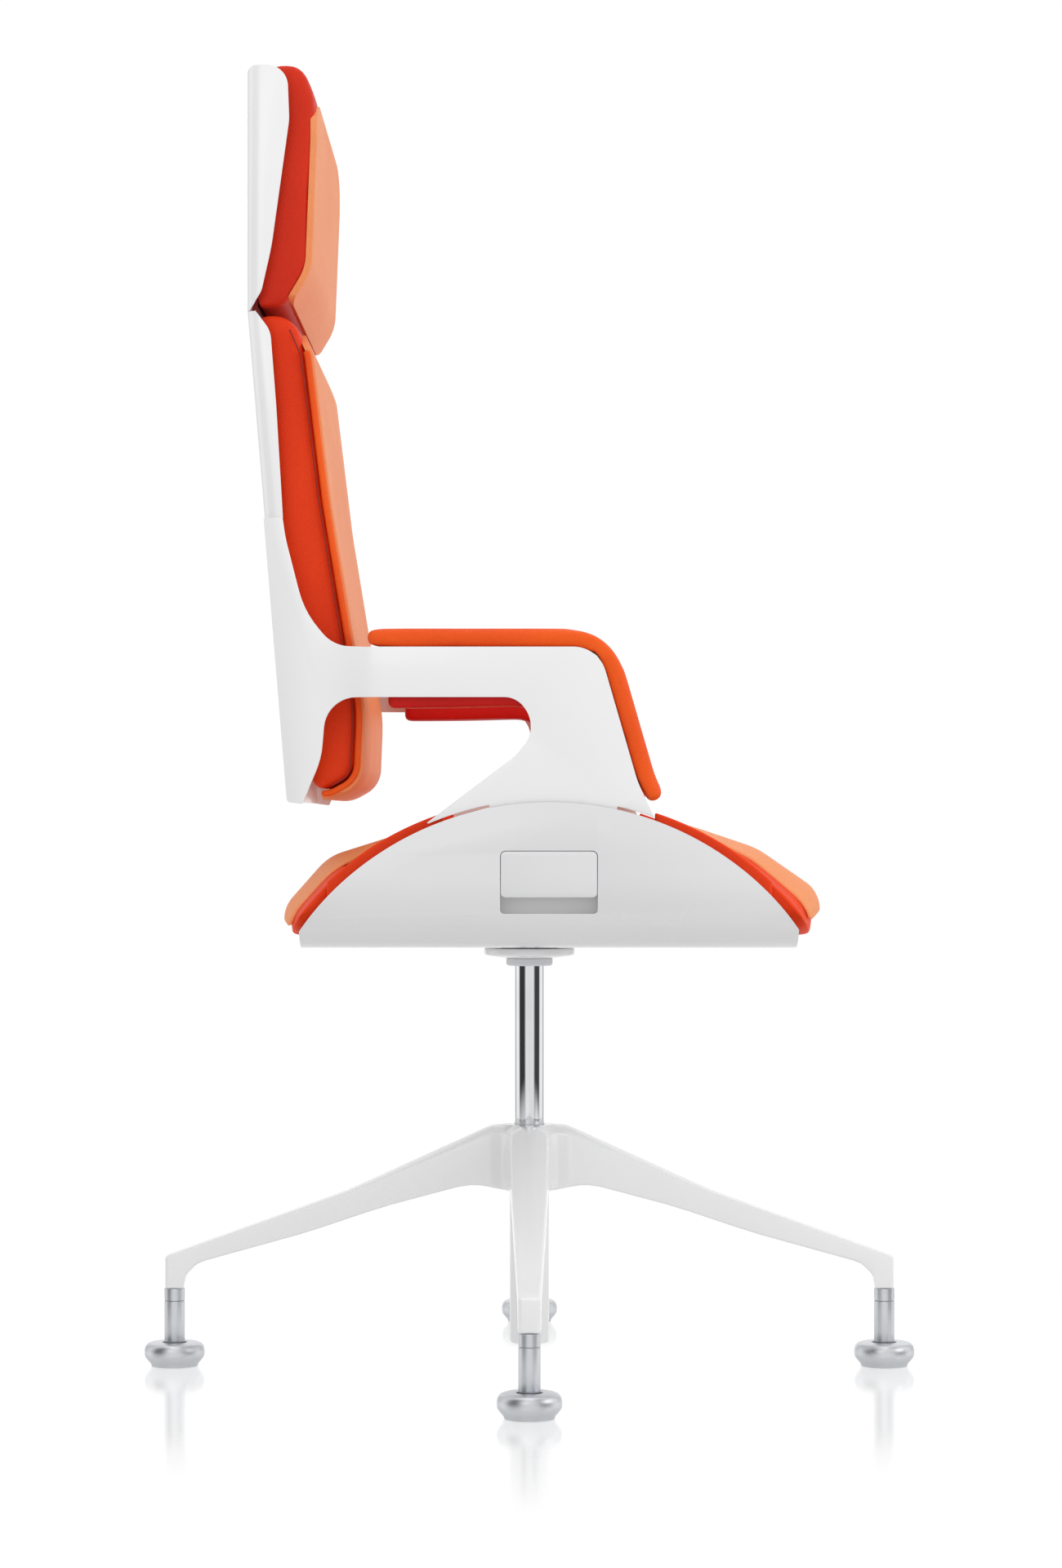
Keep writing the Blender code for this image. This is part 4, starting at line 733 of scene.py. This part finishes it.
def seat_pads():
    top = seat_top_path()
    front, rear = -SEAT_LOW[1], -SEAT_HIGH[1]
    pan_z = SEAT_Z + 0.077
    pan_top = pan_z + 0.0083
    inner = offset(top, 0.0065)
    underside = rounded([
        (*inner[-1], 0), (front - 0.012, SEAT_Z + 0.0085, 0),
        (front - 0.033, pan_z - 0.030, 0.02), (front - 0.045, pan_top, 0.01),
        (rear + 0.045, pan_top, 0.01), (rear + 0.030, pan_z - 0.030, 0.02),
        (rear + 0.010, SEAT_Z + 0.0095, 0), (*inner[0], 0)])
    half = ARM_HALF - ARM_WALL - 0.0065
    slim = SEAT_HALF - 0.041
    cushion = slab("seat_cushion_leather", inner + underside[1:-1], -half + 0.002,
                   half - 0.002)
    slot_rear, slot_front = -0.080, 0.117
    for side in (1, -1):
        cut(cushion, slab("room", rounded([
            (slot_front, side * 0.33, 0), (slot_front - 0.006, side * (slim + 0.002), 0.012),
            (slot_rear + 0.006, side * (slim + 0.002), 0.012), (slot_rear, side * 0.33, 0)]),
            SEAT_Z - 0.1, SEAT_Z + 0.2, "plan"))
    for side in (1, -1):
        low = SEAT_Z + 0.006
        edge = SEAT_HALF - 0.006
        cut(cushion, slab("under", rounded([
            (side * (edge - 0.064), low - 0.05, 0), (side * (edge - 0.064), low, 0),
            (side * (edge - 0.030), low + 0.009, 0.03),
            (side * (edge - 0.008), low + 0.032, 0.03),
            (side * edge, low + 0.064, 0), (side * (edge + 0.05), low + 0.064, 0),
            (side * (edge + 0.05), low - 0.05, 0)]), -0.4, 0.4, "front"))
    soften(cushion, 0.006, 3, 50)
    inflate(cushion, 0.0065, 5.0, 0.0035)
    follow_shell(cushion, slim, half)
    dress(smooth(cushion, 70), SIDE_LEATHER, "seat", "orange_leather", "seat_cushion")
    low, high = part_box("seat_pan")
    pan = block("seat_pan_moulding", (-0.232, low[1] + 0.004, low[2]),
                (0.232, high[1] - 0.004, high[2]))
    soften(pan, 0.0025, 3, 50)
    dress(smooth(pan), DARK_PLASTIC, "seat", "dark_plastic", "seat_pan")
    panel = band("seat_front_panel", [point for point in top if point.y > SEAT_Z + 0.020],
                 0.0075, 0.0, slim - 0.006, PANEL_SHEEN_LEATHER, "seat", "light_leather", 0.0010,
                 "seat_panel")
    follow_shell(panel, slim, half)

    for side, title in SIDES:
        for end, first, last in (("rear", -0.192, slot_rear - 0.002),
                                 ("front", slot_front + 0.002, 0.230)):
            skirt = slab(f"seat_side_leather_{end}_{title}",
                         [point + Vector((0, 0.075 * abs(point.x - 0.0192) ** 1.5))
                          for point in arc_points(first, last, 0.0050, 16)] +
                         arc_points(first, last, -0.0120, 16)[::-1],
                         *both(side, half - 0.0055, half - 0.0005))
            soften(skirt, 0.0021, 3, 50)
            dress(smooth(skirt, 60), SIDE_LEATHER, "seat", "orange_leather")


def follow_shell(obj, start, half):
    """Bring a seat pad down at both sides to just above the side panel's arc."""
    for vert in obj.data.vertices:
        share = min(1.0, max(0.0, (abs(vert.co.x) - start + 0.055) / (half - start + 0.055)))
        share = share * share * (3 - 2 * share)
        forward, height = -vert.co.y - ARC_FORWARD, vert.co.z - ARC_Z
        radius = math.hypot(forward, height)
        limit = ARC_R + 0.006
        if radius > limit:
            scale = (limit + (radius - limit) * (1 - 0.80 * share)) / radius
            vert.co.y = -(ARC_FORWARD + forward * scale)
            vert.co.z = ARC_Z + height * scale


# ---- Castings and shells ------------------------------------------------------------------
def splay(obj, side):
    """Lean the part behind the arm's bend inwards to the back's cheek, in a soft bend."""
    slope = (ARM_HALF - CHEEK_HALF) / (ARM_BEND - back_line(CHEEK_Z))
    soft = 0.010
    for step in range(-4, 5):
        place = -ARM_BEND + soft * step / 4
        bisect(obj, (0, place, 0), (0, 1, 0))
    for vert in obj.data.vertices:
        past = vert.co.y + ARM_BEND
        if past > soft:
            vert.co.x -= side * slope * past
        elif past > -soft:
            vert.co.x -= side * slope * (past + soft) ** 2 / (4 * soft)
    return obj


def pad_line():
    return path([
        (PAD_REAR, ARM_TOP, 0), (0.0655, ARM_TOP, 0.032),
        (0.1030, arc_height(0.1030) + 0.0300, 0.10),
        (0.1130, arc_height(0.1130) + 0.0130, 0)], 14)


def loop_line(clearance):
    low = ARM_LOWER
    return path([
        (ARM_BEND + 0.01, low - clearance, 0),
        (-0.0130 + clearance, low - clearance, 0.040),
        (0.0012 + clearance, low - 0.0170 - 0.5 * clearance, 0.030),
        (0.0012 + clearance, low - 0.0380, 0.025),
        (-0.0130 + 0.6 * clearance, low - 0.0555, 0.03),
        (-0.0970, arc_height(-0.0970, ARC_GAP) + 0.0015, 0)], 14)


def casting_outline():
    cheek_top = CHEEK_Z
    rear = back_line(BACK_Z)
    points = path([
        (back_line(cheek_top), cheek_top, 0), (rear, BACK_Z, 0.004),
        (rear + 0.015, BACK_Z - 0.002, 0.002), (-0.1975, BACK_Z + 0.041, 0.08),
        (-0.1925, ARM_LOWER, 0.034), (ARM_BEND + 0.01, ARM_LOWER, 0)])[:-1]
    hidden = FLAP_HIGH[2] + 0.030
    points += loop_line(0.0)
    points += arc_points(-0.0955, -0.038, ARC_GAP, 8)
    points += [Vector((-0.038, hidden)), Vector((0.083, hidden))]
    points += arc_points(0.083, 0.118, ARC_GAP, 5)
    points += offset(pad_line(), SMALL)[::-1]
    points += path([
        (PAD_REAR, ARM_TOP - SMALL, 0), (-0.186, ARM_TOP + 0.001, 0.05),
        (-0.214, ARM_TOP + 0.034, 0.12), (-0.232, cheek_top - 0.020, 0.12),
        (-0.235, cheek_top, 0)])[1:]
    return points


def arms():
    line = pad_line()
    for side, title in SIDES:
        casting = slab(f"arm_casting_{title}", casting_outline(),
                       *both(side, ARM_HALF - ARM_WALL, ARM_HALF))
        shelf = slab("shelf", offset(line, SMALL) + offset(line, 0.004)[::-1],
                     *both(side, ARM_INNER, ARM_HALF - 0.001))
        cut(casting, shelf, "UNION")
        hidden = FLAP_HIGH[2] + 0.024
        near, far = both(side, SEAT_HALF - 0.036, ARM_HALF - 0.001)
        step = block("step", (near, -0.082, hidden - 0.012), (far, 0.037, hidden + 0.010))
        cut(casting, step, "UNION")
        axle_z = SEAT_Z + 0.049
        hanger = slab("hanger", rounded([
            (-0.036, hidden, 0), (-0.034, axle_z - 0.016, 0.014),
            (0.004, axle_z - 0.016, 0.014), (0.081, hidden, 0)]),
            *both(side, SEAT_HALF - 0.037, SEAT_HALF - 0.029))
        cut(casting, hanger, "UNION")
        soften(casting, 0.0013, 3, 40)
        splay(casting, side)
        dress(smooth(casting, 35), WHITE_PAINT, "back", "white_paint", f"arm_{title}")

        pad = slab(f"arm_pad_leather_{title}", offset(line, -PAD_H + 0.002) +
                   offset(line, -0.0012)[::-1],
                   *both(side, ARM_INNER + 0.0012, ARM_HALF - 0.0012))
        soften(pad, 0.0055, 4, 50)
        inflate(pad, 0.004, 5.0, 0.002)
        splay(pad, side)
        dress(smooth(pad, 70), PAD_LIT_LEATHER, "back", "orange_leather", f"arm_pad_{title}")

        under = offset(line, 0.0043)
        low = ARM_TOP - 0.120
        points = [Vector((PAD_REAR + 0.022, under[0].y)), *under[1:-1],
                  Vector((0.094, low + 0.002)), Vector((-0.030, low))]
        points += [point for point in loop_line(0.009)[::-1] if point.y > low + 0.008]
        lining = slab(f"arm_lining_leather_{title}", points,
                      *both(side, ARM_INNER + 0.0015, ARM_HALF - ARM_WALL - 0.0012))
        soften(lining, 0.004, 3, 50)
        inflate(lining, 0.0045, 4.0, 0.0012)
        splay(lining, side)
        dress(smooth(lining, 70), LINING_SHADED_LEATHER, "back", "red_leather",
              f"arm_lining_{title}")


def tray(name, low, high, wall, inset_low):
    """A shallow tray open to the front, with rounded rear corners."""
    def section(inset, a, b):
        half = BACK_HALF - inset
        back = REAR + inset
        corner = 0.016 - inset
        return slab(name, rounded([(0.0, half, 0), (back, half, corner),
                                   (back, -half, corner), (0.0, -half, 0)], 12), a, b, "plan")
    outer = section(0.0, low, high)
    return cut(outer, section(wall, low - inset_low, high + inset_low))


def shells():
    rear = REAR - 0.001
    head = tray("headrest_shell_paint", BREAK_Z, TOP_Z, 0.004, 0.01)
    cut(head, slab("side", rounded([
        (rear, BREAK_Z, 0), (REAR + 0.003, BREAK_Z, 0), (-0.2555, BREAK_Z + 0.018, 0.02),
        (-0.2460, BREAK_Z + 0.060, 0.2), (-0.2290, TOP_Z - 0.052, 0.05),
        (-0.2310, TOP_Z, 0.036), (rear, TOP_Z, 0.010)], 16), -0.4, 0.4), "INTERSECT")
    soften(head, 0.0010, 3, 40)
    dress(smooth(head, 35), WHITE_PAINT, "back", "white_paint", "headrest_shell")

    top = BACK_HIGH[2]
    shell = tray("back_shell_paint", BACK_Z, top, 0.004, 0.01)
    for vert in shell.data.vertices:
        vert.co.y -= BACK_SLOPE * (BREAK_Z - vert.co.z)
    shift = BACK_SLOPE * (BREAK_Z - BACK_Z)
    face = 0.0045
    cut(shell, slab("side", rounded([
        (rear, top + 0.001, 0), (-0.2620, top + 0.001, 0), (-0.2470, BREAK_Z - 0.020, 0.025),
        (-0.2415, BREAK_Z - 0.090, 0.3), (-0.2350, CHEEK_Z, 0),
        (back_line(CHEEK_Z) + face, CHEEK_Z, 0), (back_line(BACK_Z) + face, BACK_Z - 0.001, 0),
        (rear + shift - 0.003, BACK_Z - 0.001, 0), (rear - 0.002, CHEEK_Z, 0)]), -0.4, 0.4),
        "INTERSECT")
    inner = CHEEK_HALF - ARM_WALL - 2 * SMALL
    for side in (1, -1):
        x = both(side, inner, 0.4)
        cut(shell, block("strip", (x[0], 0.1, BACK_Z - 0.1), (x[1], 0.4, CHEEK_Z + SMALL)))
    soften(shell, 0.0010, 3, 40)
    dress(smooth(shell, 35), WHITE_PAINT, "back", "white_paint", "back_shell")


def trough(inset, steps=16):
    half = SEAT_HALF - inset
    turn = 0.070 - inset
    low = SEAT_Z + inset
    return slab("seat_trough", rounded([
        (-half, SEAT_Z + 0.2, 0), (-half, low, turn), (half, low, turn),
        (half, SEAT_Z + 0.2, 0)], steps), -0.35, 0.35, "front")


def seat_shell():
    front, rear = -SEAT_LOW[1], -SEAT_HIGH[1]
    shell = cut(trough(0.0), trough(SHELL_WALL))
    shell.name = "seat_shell_paint"
    outline = [Vector((rear, SEAT_Z - 0.001)), Vector((front, SEAT_Z - 0.001))]
    outline += arc_points(front, rear, steps=72)
    cut(shell, slab("arc", outline, -0.4, 0.4), "INTERSECT")
    cut(shell, lathe("neck", [(0, SEAT_Z + 0.02), (0.0375, SEAT_Z + 0.02),
                              (0.0375, SEAT_Z - 0.02), (0, SEAT_Z - 0.02)]))
    flap_front, flap_rear = -FLAP_LOW[1] + 0.0006, -FLAP_HIGH[1] - 0.0006
    low, high = FLAP_LOW[2] - 0.0156, FLAP_HIGH[2] + 0.0006
    cut(shell, slab("window", rounded([
        (flap_rear, low, 0.004), (flap_front, low, 0.004), (flap_front, high, 0.0055),
        (flap_rear, high, 0.0055)]), -0.4, 0.4))
    soften(shell, 0.0007, 2, 50)
    dress(smooth(shell, 35), SEAT_SHADED_PAINT, "seat", "white_paint", "seat_shell")

    for side, title in SIDES:
        flap = cut(trough(0.0), trough(SHELL_WALL))
        flap.name = f"flap_paint_{title}"
        cut(flap, slab("edge", rounded([
            (flap_rear + 0.0006, FLAP_LOW[2], 0.0045),
            (flap_front - 0.0006, FLAP_LOW[2], 0.0045),
            (flap_front - 0.0006, FLAP_HIGH[2], 0.005),
            (flap_rear + 0.0006, FLAP_HIGH[2], 0.005)]), *both(side, 0.2, 0.4)), "INTERSECT")
        soften(flap, 0.0007, 2, 50)
        dress(smooth(flap, 35), SEAT_SHADED_PAINT, "flap_l" if side > 0 else "flap_r",
              "white_paint", f"flap_{title}")


# ---- Base, column and glides --------------------------------------------------------------
def leg_heights(r):
    """Heights of a leg's upper and lower face at a distance from the axis."""
    drop = HUB_Z - LEG_TIP_Z
    nose = GLIDE_R + 0.009
    upper = path([
        (0.0, HUB_Z, 0), (0.037, HUB_Z, 0.03), (0.51 * GLIDE_R, LEG_TIP_Z + 0.60 * drop, 0.30),
        (0.82 * GLIDE_R, LEG_TIP_Z + 0.355 * drop, 0.40), (nose, LEG_TIP_Z + 0.0325, 0),
        (nose + 0.02, LEG_TIP_Z + 0.026, 0)])
    lower = path([
        (0.0, HUB_Z - 0.073, 0), (0.06, HUB_Z - 0.0585, 0.06),
        (0.415 * GLIDE_R, LEG_TIP_Z + 0.50 * drop, 0.20),
        (0.625 * GLIDE_R, LEG_TIP_Z + 0.345 * drop, 0.30),
        (GLIDE_R - 0.024, LEG_TIP_Z + 0.0262, 0.022),
        (GLIDE_R - 0.0105, LEG_TIP_Z + 0.012, 0.012),
        (GLIDE_R - 0.0098, LEG_TIP_Z, 0), (nose + 0.02, LEG_TIP_Z, 0)])

    def at(points):
        for a, b in zip(points, points[1:]):
            if a.x <= r <= b.x:
                share = (r - a.x) / max(b.x - a.x, 1e-9)
                return a.y + (b.y - a.y) * share
        return points[-1].y
    return at(upper), at(lower)


def star_plan():
    root, tip = 0.0195, 0.0104
    flare = GLIDE_R * 0.21
    end = GLIDE_R + 0.009
    quarter = [(end, tip, 0.004), (flare, root, 0.05), (root, root, 0.028),
               (root, flare, 0.05), (tip, end, 0.004)]
    corners = []
    for turn in range(4):
        c, s = ((1, 0), (0, 1), (-1, 0), (0, -1))[turn]
        corners += [(a * c - b * s, a * s + b * c, radius) for a, b, radius in quarter]
    return rounded(corners, 14)


def base_star():
    """The four-legged base: one plan outline, cut across its legs and shaped in height."""
    star = slab("base_star_paint", star_plan(), 0.0, 0.2, "plan")
    soften(star, 0.0022, 4, 40)
    stations = [0.0, 0.008, 0.016, 0.024, 0.031, 0.037, 0.043, 0.050, 0.060, 0.072, 0.086,
                0.102, 0.120, 0.140, 0.162, 0.186, 0.210, 0.234, 0.258, 0.280, 0.300, 0.316,
                0.328, 0.336, 0.341, 0.345, 0.3485, 0.3505, 0.356]
    for station in stations:
        for sign in (1, -1):
            if station or sign > 0:
                bisect(star, (sign * station, 0, 0), (1, 0, 0))
                bisect(star, (0, sign * station, 0), (0, 1, 0))
    for vert in star.data.vertices:
        x, y, z = vert.co
        r = math.hypot(x, y)
        upper, lower = leg_heights(min(r, GLIDE_R + 0.0089))
        across = min(abs(x), abs(y)) if r > 0.03 else 0.0
        fall = 0.0065 * min(1.0, across / 0.0195) ** 2 * max(0.0, 1 - r / 0.30)
        if z > 0.1:
            vert.co.z = upper - fall - (0.2 - z)
        else:
            vert.co.z = lower + z
    bore = lathe("bore", [(0, HUB_Z + 0.01), (0.0155, HUB_Z + 0.01), (0.0155, TUBE_HIGH[2]),
                          (0.0203, TUBE_HIGH[2]), (0.0203, 0.0), (0, 0.0)])
    cut(star, bore)
    dress(smooth(star, 40), WHITE_PAINT, "base", "white_paint", "base_cross")


def column():
    tube = lathe("stand_tube_paint", [
        (0.0185, TUBE_HIGH[2]), (0.020, TUBE_HIGH[2] - 0.001), (0.020, TUBE_LOW[2] + 0.002),
        (0.0185, TUBE_LOW[2]), (0.0055, TUBE_LOW[2]), (0.0055, TUBE_LOW[2] + 0.006),
        (0.017, TUBE_LOW[2] + 0.006), (0.017, TUBE_HIGH[2])])
    dress(smooth(tube), WHITE_PAINT, "base", "white_paint", "stand_tube")

    low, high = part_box("gas_cylinder")
    cylinder = lathe("chrome_cylinder", [
        (0.0038, high[2]), (0.0125, high[2]), (0.015, high[2] - 0.02), (0.015, low[2] + 0.001),
        (0.0142, low[2]), (0.012, low[2]), (0.012, low[2] + 0.27), (0.0038, low[2] + 0.272)],
        steps=96)
    dress(smooth(cylinder), CHROME, "carrier", "chrome", "gas_cylinder")

    z, top = COLLAR_LOW[2], COLLAR_HIGH[2]
    collar = lathe("column_collar", [
        (0.0153, top), (0.0225, top), (0.0235, top - 0.001), (0.0235, z + 0.0015),
        (0.0220, z), (0.0190, z), (0.0190, z + 0.001), (0.0153, z + 0.001)])
    dress(smooth(collar), GREY_PLASTIC, "carrier", "grey_plastic", "cylinder_collar")

    z, top = FLANGE_LOW[2], FLANGE_HIGH[2]
    flange = lathe("flange_paint", [
        (0.0153, top), (0.0445, top), (0.0455, top - 0.0006), (0.046, top - 0.0018),
        (0.046, z + 0.0045), (0.0454, z + 0.0032), (0.0440, z + 0.0025), (0.0290, z + 0.0003),
        (0.0280, z), (0.0153, z)], steps=96)
    dress(smooth(flange), WHITE_PAINT, "carrier", "white_paint", "flange_plate")


def glides():
    for number in range(1, 5):
        low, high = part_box(f"glide_foot_{number}")
        centre = ((low[0] + high[0]) / 2, (low[1] + high[1]) / 2)
        r, h = (high[0] - low[0]) / 2, high[2] - low[2]
        body = f"glide_{number}"
        foot = lathe(f"glide_disc_{number}", [
            (0, h * 0.70), (0.0125, h * 0.70), (0.0125, h - 0.0006), (0.0132, h),
            (r * 0.80, h * 0.985), (r * 0.90, h * 0.93), (r * 0.965, h * 0.83),
            (r, h * 0.68), (r, h * 0.50), (r * 0.975, h * 0.38), (r * 0.90, h * 0.25),
            (r * 0.84, h * 0.17), (r * 0.80, h * 0.11), (r * 0.78, 0.001), (r * 0.77, 0.0),
            (0, 0.0)], centre, 64)
        dress(smooth(foot), SATIN, body, "satin_steel", f"glide_foot_{number}")
        post_low, post_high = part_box(f"glide_post_{number}")
        collar_low, collar_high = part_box(f"glide_collar_{number}")
        shoulder = collar_low[2] - SMALL
        post = lathe(f"glide_stem_{number}", [
            (0, post_high[2]), (0.0040, post_high[2]), (0.0047, post_high[2] - 0.001),
            (0.0047, shoulder), (0.0098, shoulder), (0.01035, shoulder - 0.0006),
            (0.01035, post_low[2] + 0.001), (0.0098, post_low[2]), (0, post_low[2])],
            centre, 48)
        dress(smooth(post), SATIN, body, "satin_steel", f"glide_post_{number}")
        collar = lathe(f"glide_nut_{number}", [
            (0.0050, collar_high[2]), (0.0099, collar_high[2]),
            (0.01035, collar_high[2] - 0.0005),
            (0.01035, collar_low[2] + 0.0006), (0.0098, collar_low[2]),
            (0.0050, collar_low[2])], centre, 48)
        dress(smooth(collar), SATIN, "base", "satin_steel", f"glide_collar_{number}")


# ---- Pieces that keep their shape ---------------------------------------------------------
def dress_hidden_nodes():
    looks = {
        DARK_PLASTIC: ["guide_bush", "cylinder_gland"],
        CHROME: ["piston_rod"],
        CASTING: ["mechanism_housing", "release_lever"],
        WHITE_PAINT: ["flap_pocket_left", "flap_pocket_right"],
        STITCH: ["back_board"],
        STEEL: ["thrust_bearing", "rod_clip", "valve_button", "seat_axle", "lever_pin",
                "torsion_spring_left", "torsion_spring_right", "back_axle",
                "lumbar_crossbar", "seat_bracket_left", "seat_bracket_right",
                *(f"bracket_bolt_{number}" for number in range(1, 5))],
    }
    for material, names in looks.items():
        for name in names:
            coat(NODES[name], material)


# ---- Studio -------------------------------------------------------------------------------
def studio():
    bpy.ops.mesh.primitive_plane_add(size=24, location=(0, 0, -0.0005))
    floor = bpy.context.object
    floor.name = "studio_floor"
    material, tree, shader = new_material(
        "floor_white", Base_Color=(0.30, 0.30, 0.30, 1), Roughness=0.13,
        Emission_Color=(1, 1, 1, 1), Emission_Strength=0.45, Specular_IOR_Level=0.75)
    where = on_object(tree)
    away = node(tree, "ShaderNodeVectorMath", {0: where}, operation="LENGTH").outputs["Value"]
    fade = node(tree, "ShaderNodeMapRange", {"Value": away, "From Min": 0.50,
                                             "From Max": 1.0},
                interpolation_type="SMOOTHSTEP").outputs[0]
    clear = node(tree, "ShaderNodeBsdfTransparent").outputs[0]
    edge = node(tree, "ShaderNodeMixShader", {0: fade, 1: shader.outputs[0], 2: clear})
    feed(tree, tree.nodes["Material Output"], Surface=edge.outputs[0])
    floor.data.materials.append(material)

    world = bpy.data.worlds.new("studio")
    SCENE.world = world
    world.use_nodes = True
    tree = world.node_tree
    shown = tree.nodes["Background"]
    shown.inputs["Color"].default_value = (1, 1, 1, 1)
    shown.inputs["Strength"].default_value = 1.02
    soft = node(tree, "ShaderNodeBackground", {"Color": (1, 1, 1, 1), "Strength": 0.84})
    mirrored = node(tree, "ShaderNodeBackground", {"Strength": 1.0})
    where = node(tree, "ShaderNodeTexCoord").outputs["Generated"]
    split = node(tree, "ShaderNodeSeparateXYZ", {0: where})
    around = math_node(tree, "ARCTAN2", split.outputs[1], split.outputs[0])
    turn = node(tree, "ShaderNodeMapRange", {"Value": around, "From Min": -math.pi,
                                             "From Max": math.pi}).outputs[0]
    bands = node(tree, "ShaderNodeValToRGB", {0: turn})
    ramp = bands.color_ramp
    stops = [(0.0, 0.80), (0.085, 0.85), (0.12, 0.06), (0.225, 0.05), (0.245, 0.9),
             (0.33, 1.0), (0.37, 0.35), (0.42, 1.0), (0.58, 1.0), (0.63, 0.35), (0.67, 1.0),
             (0.755, 0.9), (0.775, 0.04), (0.89, 0.04), (0.925, 0.85), (1.0, 0.80)]
    while len(ramp.elements) < len(stops):
        ramp.elements.new(0.5)
    for element, (place, value) in zip(ramp.elements, stops):
        element.position = place
        element.color = (value, value, value, 1)
    feed(tree, mirrored, Color=bands.outputs[0])
    rays = node(tree, "ShaderNodeLightPath").outputs
    lit = node(tree, "ShaderNodeMixShader", {
        0: rays["Is Glossy Ray"], 1: soft.outputs[0], 2: mirrored.outputs[0]})
    mix = node(tree, "ShaderNodeMixShader", {
        0: rays["Is Camera Ray"], 1: lit.outputs[0], 2: shown.outputs[0]})
    feed(tree, tree.nodes["World Output"], Surface=mix.outputs[0])

    def softbox(name, place, target, size, power, tint=(1, 1, 1)):
        data = bpy.data.lights.new(name, "AREA")
        data.shape = "RECTANGLE"
        data.size, data.size_y = size
        data.energy = power
        data.color = tint
        lamp = bpy.data.objects.new(name, data)
        lamp.location = place
        lamp.rotation_euler = (Vector(target) - Vector(place)).to_track_quat(
            "-Z", "Y").to_euler()
        SCENE.collection.objects.link(lamp)
        lamp.visible_camera = False

    softbox("front_light", (-1.2, -2.6, 1.7), (0, 0, 0.8), (1.6, 1.8), 17)
    softbox("top_light", (-0.6, 0.2, 3.2), (0, 0, 0.6), (2.4, 2.4), 14)
    softbox("near_light", (-3.4, 0.9, 1.9), (0, 0, 0.7), (1.6, 1.6), 5)

    camera = bpy.data.objects.new("camera", bpy.data.cameras.new("camera"))
    camera.location = (-4.09, 0, 0.557)
    camera.rotation_euler = (math.pi / 2, 0, -math.pi / 2)
    camera.data.lens = 92.5
    camera.data.sensor_width = 36
    camera.data.shift_x = 0.001
    camera.data.shift_y = 0.0208
    SCENE.collection.objects.link(camera)
    SCENE.camera = camera
    SCENE.view_settings.view_transform = "Standard"
    SCENE.view_settings.look = "None"


base_star()
column()
glides()
seat_shell()
arms()
shells()
back_pads()
seat_pads()
dress_hidden_nodes()
studio()
